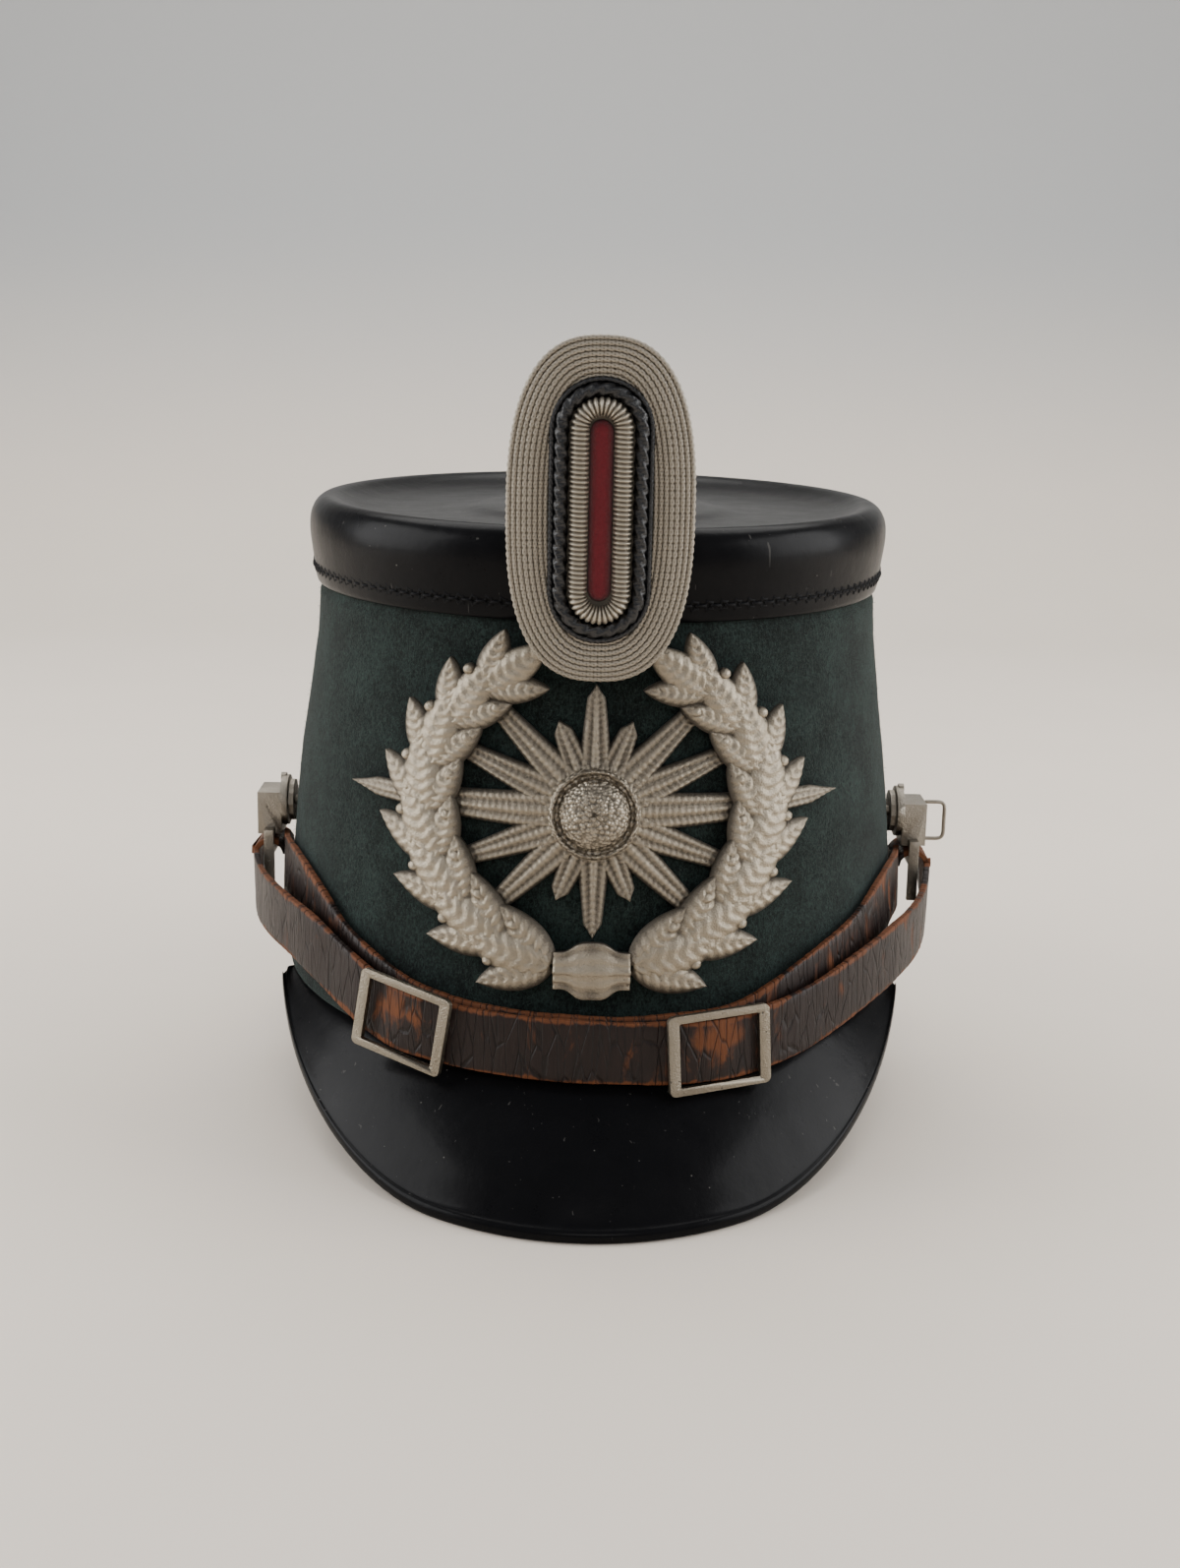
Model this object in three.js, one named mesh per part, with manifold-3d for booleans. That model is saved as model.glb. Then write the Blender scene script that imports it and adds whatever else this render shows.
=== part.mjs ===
// A shako: a stiff felt-covered shell with a pressed crown, two peaks, a stamped plate,
// an oval cockade and a leather chin strap. Millimetres, +Z up, the front faces -Y.
// While it is built, z = 0 is the surface it stands on and the Z axis is the shell's own axis.
import * as THREE from "three";
import { mergeVertices } from "three/addons/utils/BufferGeometryUtils.js";
import Module from "manifold-3d";

const wasm = await Module();
wasm.setup();

// ---------------------------------------------------------------- driving dimensions
const GAP = 0.3; // clearance between touching pieces
const AROUND = 48; // facets round the shell and the crown

const SHELL_WALL = 2.5;
const SHELL_BOTTOM = 32;
// The shell's outside: half width across, and how many times deeper it is than wide.
const SHELL = [
  { z: 32, halfWidth: 89.2, deeper: 1.162 },
  { z: 46, halfWidth: 88.6, deeper: 1.15 },
  { z: 64, halfWidth: 87.5, deeper: 1.132 },
  { z: 82, halfWidth: 85.9, deeper: 1.115 },
  { z: 96, halfWidth: 84.3, deeper: 1.101 },
  { z: 109, halfWidth: 82.3, deeper: 1.088 },
  { z: 128, halfWidth: 80.0, deeper: 1.07 },
  { z: 139.6, halfWidth: 79.5, deeper: 1.06 },
  { z: 141.6, halfWidth: 78.4, deeper: 1.06 },
  { z: 150, halfWidth: 79.3, deeper: 1.06 },
  { z: 156.5, halfWidth: 80.0, deeper: 1.06 },
];

const CROWN_DEEPER = 1.06;
// The crown's outside from the middle of its top to its lower edge: radius across, height.
const CROWN_OUTSIDE = [
  { radius: 0, z: 163.6 },
  { radius: 33, z: 163.4 },
  { radius: 40, z: 161.8 },
  { radius: 66, z: 161.8 },
  { radius: 72, z: 163.6 },
  { radius: 75.2, z: 165.3 },
  { radius: 78, z: 165.6 },
  { radius: 80.4, z: 163.8 },
  { radius: 81.9, z: 160.6 },
  { radius: 82.1, z: 156 },
  { radius: 81.2, z: 149.6 },
  { radius: 80.4, z: 142 },
];
// Its inside, from the lower edge back to the middle.
const CROWN_INSIDE = [
  { radius: 78.8, z: 142 },
  { radius: 79.7, z: 149.6 },
  { radius: 80.4, z: 156.9 },
  { radius: 78.4, z: 161.4 },
  { radius: 74, z: 161.6 },
  { radius: 68, z: 159.6 },
  { radius: 38.5, z: 159.6 },
  { radius: 33, z: 161.4 },
  { radius: 0, z: 161.4 },
];

const PEAK_SHEET = 2;
const PEAK_COLUMNS = 28;
const PEAK_FLANGE_TOP = 40;
const PEAK_FLANGE_THICK = 1.5;
const BEAD = 3.4; // the turned edge of a peak
// Each peak's edge in plan is an ellipse about the shell's axis. It lies on the surface
// over the middle and rises towards its ends.
const PEAKS = {
  front: {
    facing: -1,
    halfWidth: 91,
    reach: 138.6,
    endTurn: 75,
    flatTurn: 27,
    endRise: 30,
    riseCurve: 1.5,
    bulge: 2.2,
  },
  rear: {
    facing: 1,
    halfWidth: 91,
    reach: 127,
    endTurn: 73,
    flatTurn: 26,
    endRise: 29,
    riseCurve: 1.5,
    bulge: 2.4,
  },
};

const PLATE_Z = 96; // height of the plate's middle
const PLATE_LIFT = 1; // the plate's back, off the felt
// The star's rays reach an ellipse, every second one a little less.
const STAR = { rays: 16, root: 5.4, thick: 1.1, ridge: 2, wide: 62, tall: 31, short: 0.72 };
const WREATH = {
  halfWidth: 41,
  halfHeight: 38.5,
  lift: 3.4,
  groups: 8,
  startTurn: -76,
  endTurn: 49,
};
const LEAF = { long: 20, wide: 9.5, ridge: 2.2, splay: 34 };
const LEAF_WIDTHS = [0.16, 0.48, 0.5, 0.28]; // shares of its width, along it
const LEAF_RIDGES = [0.5, 1, 1, 0.7]; // shares of its ridge's height
const TIE = { halfLong: 9, waist: 3, halfHigh: 7, endHalfHigh: 4.5, edge: 1.2, ridge: 2.6 };
const BOSS = { radius: 11.5, lift: 4.6, height: 4.2 };

const COCKADE = { z: 170.5, back: -88.2 };
// Ovals of the cockade: half width, half height, how square the oval is, height off its back.
const COCKADE_BASE = [
  { halfWidth: 22.6, halfHeight: 41.2, square: 2.6, off: 0 },
  { halfWidth: 23, halfHeight: 41.9, square: 2.6, off: 1.6 },
  { halfWidth: 21.4, halfHeight: 40.2, square: 2.6, off: 3.8 },
  { halfWidth: 17.6, halfHeight: 36.6, square: 2.7, off: 5 },
  { halfWidth: 13.8, halfHeight: 33.2, square: 2.9, off: 4.4 },
  { halfWidth: 13.1, halfHeight: 32.6, square: 2.9, off: 2.6 },
];
const COCKADE_RINGS = {
  cockade_black_ring: [
    { halfWidth: 12.8, halfHeight: 32.3, square: 2.9, off: 2.9 },
    { halfWidth: 12.4, halfHeight: 31.9, square: 2.9, off: 4.6 },
    { halfWidth: 10.3, halfHeight: 29.9, square: 2.9, off: 5.9 },
    { halfWidth: 8.4, halfHeight: 28.2, square: 2.9, off: 4.6 },
    { halfWidth: 8.1, halfHeight: 28, square: 2.9, off: 2.9 },
  ],
  cockade_silver_ring: [
    { halfWidth: 7.8, halfHeight: 27.7, square: 2.8, off: 2.9 },
    { halfWidth: 7.7, halfHeight: 27.6, square: 2.8, off: 5.8 },
    { halfWidth: 5.5, halfHeight: 25.1, square: 2.7, off: 7.4 },
    { halfWidth: 3.3, halfHeight: 22.6, square: 2.7, off: 6 },
    { halfWidth: 3.1, halfHeight: 22.4, square: 2.7, off: 2.9 },
  ],
};
const COCKADE_CENTRE = [
  { halfWidth: 2.8, halfHeight: 22.1, square: 2.7, off: 2.9 },
  { halfWidth: 2.8, halfHeight: 22.1, square: 2.7, off: 5.2 },
  { halfWidth: 1.6, halfHeight: 20.9, square: 2.7, off: 5.7 },
];
const OVAL_STEPS = 36;

const POST = { radius: 1.5, nut: 3.6, nutThick: 1.8 };
const POST_FACETS = 12;
const COCKADE_POST_Z = 134.5;
const PLATE_POST_X = 24;

const SIDE_Z = 75.5; // height of the side posts
const SIDE_Y = -6;
const WASHER = { radius: 6.2, thick: 1.4, stand: 1 };
const HOOK = {
  disc: 7.4,
  discThick: 1.6,
  nub: 1.6,
  blockTop: 79,
  blockBottom: 66.6,
  blockLong: 13,
  blockThick: 7,
};
const TONGUE = { thick: 1.6, wide: 2.8, bottom: 51, shelf: 2, barRadius: 1.4, barRise: 1.4 };
const EYE = { reach: 6.6, high: 12.4, wire: 1.3, bend: 1.6 };

const STRAP = { wide: 16, thick: 1.8, steps: 2, foldZ: 60.4, outerFold: 12.1, innerFold: 3.1 };
// The strap's middle line: bearing from the front in degrees (right is positive), height,
// how far it stands off the shell, and how far it leans out at its lower edge in degrees.
const STRAP_OUTER = [
  { bearing: -85, z: 56.6, off: 10.8, lean: 0 },
  { bearing: -81.5, z: 53.8, off: 10.4, lean: 0 },
  { bearing: -76, z: 52.8, off: 9.6, lean: 0 },
  { bearing: -69, z: 52.8, off: 8.6, lean: 0 },
  { bearing: -60, z: 52.6, off: 7.6, lean: 1 },
  { bearing: -51, z: 51.6, off: 6.8, lean: 2 },
  { bearing: -43, z: 48.6, off: 6.4, lean: 3 },
  { bearing: -35, z: 43.8, off: 6.4, lean: 4 },
  { bearing: -26, z: 40.2, off: 6.4, lean: 4 },
  { bearing: -14, z: 38.4, off: 6.2, lean: 4 },
  { bearing: 0, z: 37.9, off: 6.2, lean: 4 },
  { bearing: 10, z: 37.2, off: 6.2, lean: 4 },
  { bearing: 19, z: 37.3, off: 6.4, lean: 4 },
  { bearing: 28, z: 39, off: 6.4, lean: 4 },
  { bearing: 36, z: 42, off: 6.4, lean: 3 },
  { bearing: 44, z: 45, off: 6.8, lean: 3 },
  { bearing: 54, z: 47.6, off: 7.6, lean: 2 },
  { bearing: 65, z: 48.6, off: 8.6, lean: 1 },
  { bearing: 73, z: 49.6, off: 9.6, lean: 0 },
  { bearing: 80, z: 52, off: 10.4, lean: 0 },
  { bearing: 84.8, z: 56, off: 10.9, lean: 0 },
];
const STRAP_INNER = [
  { bearing: 84.8, z: 58.6, off: 2, lean: 0 },
  { bearing: 80.6, z: 58, off: 2, lean: 2 },
  { bearing: 73, z: 59.4, off: 2, lean: 3 },
  { bearing: 65, z: 59.8, off: 2, lean: 4 },
  { bearing: 57, z: 57, off: 2.2, lean: 5 },
  { bearing: 50, z: 53.6, off: 2.6, lean: 6 },
  { bearing: 43, z: 50.8, off: 3, lean: 6 },
  { bearing: 36, z: 48, off: 3.2, lean: 6 },
  { bearing: 29, z: 43.4, off: 3.4, lean: 6 },
  { bearing: 21, z: 39, off: 3.4, lean: 6 },
  { bearing: 11, z: 38, off: 3.4, lean: 6 },
  { bearing: 0, z: 38, off: 3.4, lean: 6 },
  { bearing: -14, z: 38.8, off: 3.4, lean: 6 },
  { bearing: -25, z: 40.8, off: 3.4, lean: 6 },
  { bearing: -33, z: 45, off: 3.4, lean: 6 },
  { bearing: -40, z: 48.8, off: 3.2, lean: 6 },
  { bearing: -46, z: 52.6, off: 2.8, lean: 6 },
  { bearing: -52, z: 56.8, off: 2.4, lean: 6 },
  { bearing: -59, z: 60, off: 2, lean: 5 },
  { bearing: -68, z: 61.4, off: 2, lean: 4 },
  { bearing: -76, z: 60.4, off: 2, lean: 2 },
  { bearing: -81.5, z: 59.4, off: 2, lean: 1 },
  { bearing: -85, z: 59.4, off: 2, lean: 0 },
];

const BUCKLE = { long: 28, high: 20.8, bar: 2.9, rail: 2, thick: 1.5, corner: 1.6, window: 0.4 };
const BUCKLE_BEARINGS = { left: -26.6, right: 17.4 };
const BULGE = { high: 1.7, halfBearing: 5.4 }; // the outer layer stands out inside a buckle
const STUD = { radius: 3.7, thick: 0.9, rise: 5.8 };

// ---------------------------------------------------------------- materials
const finish = (color, roughness, metalness) =>
  new THREE.MeshStandardMaterial({ color, roughness, metalness });
const FIBRE = finish(0x17171a, 0.35, 0);
const FELT = finish(0x28393a, 0.95, 0);
const STAMPED = finish(0xb9b0a0, 0.42, 1);
const BRAID = finish(0xc9c1b2, 0.5, 0.7);
const BLACK_CORD = finish(0x121214, 0.35, 0);
const RED_CLOTH = finish(0x4a0f14, 0.85, 0);
const LEATHER = finish(0x2c1c18, 0.6, 0);
const STEEL = finish(0xa9a294, 0.4, 1);

// ---------------------------------------------------------------- meshes and solids
const radians = THREE.MathUtils.degToRad;
const vec = (x, y, z) => new THREE.Vector3(x, y, z);
const UP = vec(0, 0, 1);

// A closed mesh from points and triangles of their numbers, turned so that its faces look out.
function closedMesh(points, triangles) {
  const volume = triangles.reduce((sum, [a, b, c]) => {
    return sum + points[a].dot(points[b].clone().cross(points[c]));
  }, 0);
  const facing = volume < 0 ? triangles.map(([a, b, c]) => [a, c, b]) : triangles;
  return new THREE.BufferGeometry().setFromPoints(points).setIndex(facing.flat());
}

// A flat outline in space, cut into triangles.
function capTriangles(outline) {
  const normal = vec(0, 0, 0);
  outline.forEach((p, i) => {
    normal.add(p.clone().cross(outline[(i + 1) % outline.length]));
  });
  normal.normalize();
  const side = outline[1].clone().sub(outline[0]).projectOnPlane(normal).normalize();
  const across = normal.clone().cross(side);
  const flat = outline.map((p) => new THREE.Vector2(p.dot(side), p.dot(across)));
  return THREE.ShapeUtils.triangulateShape(flat, []);
}

// A skin over sections of equal count. A ring of sections joins its last to its first;
// otherwise the first and last sections are capped.
function loft(sections, ring = false) {
  const count = sections[0].length;
  const triangles = [];
  const spans = ring ? sections.length : sections.length - 1;
  for (let i = 0; i < spans; i++) {
    const here = i * count;
    const next = ((i + 1) % sections.length) * count;
    for (let j = 0; j < count; j++) {
      const k = (j + 1) % count;
      triangles.push([here + j, here + k, next + k], [here + j, next + k, next + j]);
    }
  }
  if (!ring) {
    const last = (sections.length - 1) * count;
    capTriangles(sections[0]).forEach(([a, b, c]) => triangles.push([a, c, b]));
    capTriangles(sections.at(-1)).forEach(([a, b, c]) => {
      triangles.push([last + a, last + b, last + c]);
    });
  }
  return closedMesh(sections.flat(), triangles);
}

function toSolid(geometry) {
  const bare = geometry.clone().deleteAttribute("normal").deleteAttribute("uv");
  const merged = mergeVertices(bare, 1e-4);
  return new wasm.Manifold(
    new wasm.Mesh({
      numProp: 3,
      vertProperties: merged.attributes.position.array,
      triVerts: new Uint32Array(merged.index.array),
    }),
  );
}

function toGeometry(solid) {
  const mesh = solid.getMesh();
  return new THREE.BufferGeometry()
    .setAttribute("position", new THREE.BufferAttribute(mesh.vertProperties, 3))
    .setIndex(new THREE.BufferAttribute(mesh.triVerts, 1));
}

const join = (geometries) => toGeometry(wasm.Manifold.union(geometries.map(toSolid)));

function moved(geometry, change) {
  const position = geometry.getAttribute("position");
  for (let i = 0; i < position.count; i++) {
    const p = change(new THREE.Vector3().fromBufferAttribute(position, i));
    position.setXYZ(i, p.x, p.y, p.z);
  }
  return geometry;
}

// A turned piece whose axis runs from a point along a direction.
function turned(profile, from, along, facets) {
  const points = profile.map(([radius, height]) => new THREE.Vector2(radius, height));
  const turn = new THREE.Quaternion().setFromUnitVectors(vec(0, 1, 0), along);
  const lathe = new THREE.LatheGeometry(points, facets);
  return moved(lathe, (p) => p.applyQuaternion(turn).add(from));
}

// ---------------------------------------------------------------- the shell's surface
function fromTable(table, key, value, column) {
  const next = table.findIndex((row) => row[key] >= value);
  if (next === 0) return table[0][column];
  if (next < 0) return table.at(-1)[column];
  const a = table[next - 1];
  const b = table[next];
  return THREE.MathUtils.mapLinear(value, a[key], b[key], a[column], b[column]);
}

function shellOval(z) {
  const halfWidth = fromTable(SHELL, "z", z, "halfWidth");
  return { halfWidth, halfDepth: halfWidth * fromTable(SHELL, "z", z, "deeper") };
}

// The outward direction of the shell at a point near it.
function outward(x, y, z) {
  const { halfWidth, halfDepth } = shellOval(z);
  return vec(x / halfWidth ** 2, y / halfDepth ** 2, 0).normalize();
}

// A point at a bearing from the front and a height, so far off the shell.
function atBearing(bearing, z, off) {
  const { halfWidth, halfDepth } = shellOval(z);
  const turn = radians(bearing);
  const radius = 1 / Math.hypot(Math.sin(turn) / halfWidth, Math.cos(turn) / halfDepth);
  const p = vec(radius * Math.sin(turn), -radius * Math.cos(turn), z);
  return p.addScaledVector(outward(p.x, p.y, z), off);
}

// A point of the front, given where it is seen from straight ahead, so far off the shell.
function onFront(x, z, off) {
  const { halfWidth, halfDepth } = shellOval(z);
  const p = vec(x, -halfDepth * Math.sqrt(1 - (x / halfWidth) ** 2), z);
  return p.addScaledVector(outward(p.x, p.y, z), off);
}

// ---------------------------------------------------------------- crown and shell
function crown() {
  const rows = [...CROWN_OUTSIDE, ...CROWN_INSIDE].reverse();
  const points = rows.map((row) => new THREE.Vector2(row.radius, row.z));
  const lathe = new THREE.LatheGeometry(points, AROUND);
  return moved(lathe, (p) => vec(p.x, -p.z * CROWN_DEEPER, p.y));
}

// The shell is lathed as a straight tube and then fitted to its ovals: a tube point's
// distance from the tube's outside is kept as its depth in the wall.
function body() {
  const tube = 100;
  const heights = SHELL.map((row) => row.z);
  const outside = heights.map((z) => new THREE.Vector2(tube, z));
  const inside = heights.map((z) => new THREE.Vector2(tube - SHELL_WALL, z)).reverse();
  const lathe = new THREE.LatheGeometry([...outside, ...inside, outside[0]], AROUND);
  const fitted = moved(lathe, (p) => {
    const radius = Math.hypot(p.x, p.z);
    const depth = tube - radius;
    const { halfWidth, halfDepth } = shellOval(p.y);
    return vec(((halfWidth - depth) * p.x) / radius, (-(halfDepth - depth) * p.z) / radius, p.y);
  });
  const drilled = posts().map(({ from, along }) => {
    const hole = cylinderProfile(POST.radius + GAP, -2 * SHELL_WALL, 2 * SHELL_WALL);
    return toSolid(turned(hole, from, along, POST_FACETS));
  });
  return toGeometry(toSolid(fitted).subtract(wasm.Manifold.union(drilled)));
}

const cylinderProfile = (radius, low, high) => [
  [0, low],
  [radius, low],
  [radius, high],
  [0, high],
];

// Where each post goes through the shell's outside, and which way it points.
function posts() {
  const front = vec(0, -1, 0);
  const side = (sign) => ({
    name: sign < 0 ? "side_post_left" : "side_post_right",
    from: vec(sign * sideX(), SIDE_Y, SIDE_Z),
    along: vec(sign, 0, 0),
    stem: 0,
    washer: true,
  });
  const plate = (sign) => ({
    name: sign < 0 ? "plate_post_left" : "plate_post_right",
    from: onFront(sign * PLATE_POST_X, PLATE_Z, 0),
    along: outward(sign * PLATE_POST_X, onFront(PLATE_POST_X, PLATE_Z, 0).y, PLATE_Z),
    stem: PLATE_LIFT - 2 * GAP,
  });
  const cockadeFrom = onFront(0, COCKADE_POST_Z, 0);
  const cockade = {
    name: "cockade_post",
    from: cockadeFrom,
    along: front,
    stem: cockadeFrom.y - COCKADE.back - GAP,
  };
  return [side(-1), side(1), plate(-1), plate(1), cockade];
}

// The shell's half width where the side posts pass.
function sideX() {
  const { halfWidth, halfDepth } = shellOval(SIDE_Z);
  return halfWidth * Math.sqrt(1 - (SIDE_Y / halfDepth) ** 2);
}

function post({ from, along, stem, washer }) {
  const nutOut = -SHELL_WALL - 4 * GAP;
  const nutIn = nutOut - POST.nutThick;
  const outer = washer
    ? [
        [POST.radius, WASHER.stand],
        [WASHER.radius, WASHER.stand],
        [WASHER.radius, WASHER.stand + WASHER.thick],
        [0, WASHER.stand + WASHER.thick],
      ]
    : [
        [POST.radius, stem],
        [0, stem],
      ];
  const nut = [
    [0, nutIn],
    [POST.nut, nutIn],
    [POST.nut, nutOut],
    [POST.radius, nutOut],
  ];
  return turned([...nut, ...outer], from, along, POST_FACETS);
}

// ---------------------------------------------------------------- peaks
// One section of a peak: the sheet from its edge up to the shell, and the flange inside it.
function peakSection(peak, turn) {
  const { halfWidth, halfDepth } = shellOval(SHELL_BOTTOM);
  const t = radians(turn);
  const place = (across, deep) => vec(across * Math.sin(t), peak.facing * deep * Math.cos(t), 0);
  const root = place(halfWidth, halfDepth);
  const rim = place(peak.halfWidth, peak.reach);
  const beyond = Math.max(0, Math.abs(turn) - peak.flatTurn) / (peak.endTurn - peak.flatTurn);
  const rimZ = peak.endRise * beyond ** peak.riseCurve;
  const rootZ = SHELL_BOTTOM - GAP;
  const reach = rim.distanceTo(root) - BEAD / 2;
  const away = rim.clone().sub(root).normalize();
  const normal = outward(root.x, root.y, SHELL_BOTTOM);
  const drop = rootZ - PEAK_SHEET - rimZ;
  // The sheet bulges a little towards its edge.
  const swell = peak.bulge * Math.min(1, reach / 30);
  const tilt = Math.atan2(drop, reach);
  const sheet = [0, 0.25, 0.5, 0.75, 0.95].map((s) => {
    const bulge = swell * Math.sin(Math.PI * s ** 1.6);
    return {
      out: reach * s + bulge * Math.sin(tilt),
      z: rimZ + PEAK_SHEET / 2 + drop * (1 - s) + bulge * Math.cos(tilt),
    };
  });
  const half = PEAK_SHEET / 2;
  const above = sheet.map(({ out, z }) => [out + half * Math.sin(tilt), z + half * Math.cos(tilt)]);
  const below = sheet.map(({ out, z }) => [out - half * Math.sin(tilt), z - half * Math.cos(tilt)]);
  below[4] = [reach - BEAD * 0.3, rimZ + 0.9];
  const bead = [
    [reach + BEAD * 0.18, rimZ + BEAD],
    [reach + BEAD * 0.5, rimZ + BEAD * 0.68],
    [reach + BEAD * 0.46, rimZ + 0.5],
    [reach + BEAD * 0.24, rimZ],
    [reach - BEAD * 0.24, rimZ],
  ];
  const inner = -SHELL_WALL - 2 * GAP;
  const flange = [
    [inner - PEAK_FLANGE_THICK, rootZ - PEAK_SHEET],
    [inner - PEAK_FLANGE_THICK, PEAK_FLANGE_TOP],
    [inner, PEAK_FLANGE_TOP],
    [inner, rootZ],
  ];
  const outside = [[0, rootZ], ...above.slice(1), ...bead, ...below.slice(1).reverse()];
  const outPoint = ([out, z]) => root.clone().addScaledVector(away, out).setZ(z);
  const inPoint = ([off, z]) => {
    const oval = shellOval(z);
    return place(oval.halfWidth, oval.halfDepth).addScaledVector(normal, off).setZ(z);
  };
  return [...outside.map(outPoint), ...flange.map(inPoint)];
}

function peak(shape) {
  const sections = [];
  for (let i = 0; i <= PEAK_COLUMNS; i++) {
    const turn = THREE.MathUtils.lerp(-shape.endTurn, shape.endTurn, i / PEAK_COLUMNS);
    sections.push(peakSection(shape, turn));
  }
  return loft(sections);
}

// ---------------------------------------------------------------- plate
// A tapering ridge along a straight line on the plate: a ray of the star, or a leaf.
// The widths are half widths at even steps along it; its tip is a point.
function ridge({ from, turn, long, widths, ridges, lift }) {
  const t = radians(turn);
  const along = new THREE.Vector2(Math.cos(t), Math.sin(t));
  const across = new THREE.Vector2(-along.y, along.x);
  const point = (distance, side, off) => {
    const x = from.x + along.x * distance + across.x * side;
    const z = from.y + along.y * distance + across.y * side;
    return onFront(x, z, lift + off);
  };
  const sections = widths.map((half, i) => {
    const distance = (long * i) / widths.length;
    return [point(distance, -half, 0), point(distance, 0, ridges[i]), point(distance, half, 0)];
  });
  const tip = point(long, 0, 0.3);
  return loft([...sections, [tip, tip.clone(), tip.clone()]]);
}

function star() {
  const centre = new THREE.Vector2(0, PLATE_Z);
  const pieces = [];
  for (let i = 0; i < STAR.rays; i++) {
    const turn = (360 / STAR.rays) * i;
    const t = radians(turn);
    const full = 1 / Math.hypot(Math.cos(t) / STAR.wide, Math.sin(t) / STAR.tall);
    const long = i % 2 ? full * STAR.short : full;
    const steps = Math.max(3, Math.round(long / 10));
    const taper = (s) => 1 - s / steps;
    const half = (s) => STAR.root * (0.35 + 0.65 * taper(s)) * (s ? 1 : 0.7);
    const widths = Array.from({ length: steps }, (_, s) => half(s));
    const ridges = widths.map((_, s) => STAR.thick + (STAR.ridge - STAR.thick) * taper(s));
    pieces.push(ridge({ from: centre, turn, long, widths, ridges, lift: PLATE_LIFT }));
  }
  return join(pieces);
}

const onWreath = (turn) => {
  const across = WREATH.halfWidth * Math.cos(radians(turn));
  return new THREE.Vector2(across, PLATE_Z + WREATH.halfHeight * Math.sin(radians(turn)));
};

// The two branches meet at the foot of the wreath, where a band is tied round them.
function wreath() {
  const pieces = [];
  const leaf = (from, turn, scale, extra) => {
    const { long, wide, ridge: high } = LEAF;
    pieces.push(
      ridge({
        from,
        turn,
        long: long * scale,
        widths: LEAF_WIDTHS.map((share) => share * wide * scale),
        ridges: LEAF_RIDGES.map((share) => share * high + extra),
        lift: WREATH.lift,
      }),
    );
  };
  for (const side of [-1, 1]) {
    for (let i = 0; i < WREATH.groups; i++) {
      const share = i / (WREATH.groups - 1);
      const turn = THREE.MathUtils.lerp(WREATH.startTurn, WREATH.endTurn, share);
      const here = onWreath(turn);
      const next = onWreath(turn + 4);
      const heading = THREE.MathUtils.radToDeg(Math.atan2(next.y - here.y, next.x - here.x));
      const size = 1.08 - 0.16 * share;
      const place = new THREE.Vector2(side * here.x, here.y);
      const way = (angle) => (side > 0 ? angle : 180 - angle);
      leaf(place, way(heading + LEAF.splay), size * 0.86, 0);
      leaf(place, way(heading - LEAF.splay), size * 0.86, 0);
      leaf(place, way(heading), size * 1.05, 0.5);
    }
  }
  const foot = PLATE_Z - WREATH.halfHeight;
  const band = [-TIE.halfLong, -TIE.waist, TIE.waist, TIE.halfLong].map((x) => {
    const half = Math.abs(x) > TIE.waist ? TIE.endHalfHigh : TIE.halfHigh;
    const corner = (z, off) => onFront(x, z, WREATH.lift + off);
    return [
      corner(foot - half, 0),
      corner(foot - half, TIE.edge),
      corner(foot, TIE.ridge),
      corner(foot + half, TIE.edge),
      corner(foot + half, 0),
    ];
  });
  pieces.push(loft(band));
  return join(pieces);
}

function boss() {
  const { radius, height } = BOSS;
  const profile = [
    [0, 0],
    [radius, 0],
    [radius, 1],
    [radius * 0.86, 1.8],
    [radius * 0.78, 1.2],
    [radius * 0.7, 1.6],
    [radius * 0.4, height * 0.86],
    [0, height],
  ];
  const above = onFront(0, PLATE_Z + radius, 0);
  const below = onFront(0, PLATE_Z - radius, 0);
  const along = vec(0, -1, (above.y - below.y) / (2 * radius)).normalize();
  return turned(profile, onFront(0, PLATE_Z, BOSS.lift), along, 24);
}

// ---------------------------------------------------------------- cockade
function oval({ halfWidth, halfHeight, square, off }) {
  const power = (value) => Math.sign(value) * Math.abs(value) ** (2 / square);
  return Array.from({ length: OVAL_STEPS }, (_, i) => {
    const t = (2 * Math.PI * i) / OVAL_STEPS;
    const x = halfWidth * power(Math.cos(t));
    const z = COCKADE.z + halfHeight * power(Math.sin(t));
    return vec(x, COCKADE.back - off, z);
  });
}
const cockadePad = (rows) => loft(rows.map(oval));
const cockadeRing = (rows) => loft(rows.map(oval), true);

// ---------------------------------------------------------------- side fittings
const box = (low, high) => {
  const size = high.clone().sub(low);
  const middle = low.clone().add(high).multiplyScalar(0.5);
  return new THREE.BoxGeometry(size.x, size.y, size.z).translate(middle.x, middle.y, middle.z);
};

const hookX = () => sideX() + WASHER.stand + WASHER.thick + GAP;
const blockX = () => hookX() + HOOK.discThick;
const foldX = () => sideX() + (STRAP.outerFold + STRAP.innerFold) / 2;

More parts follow.
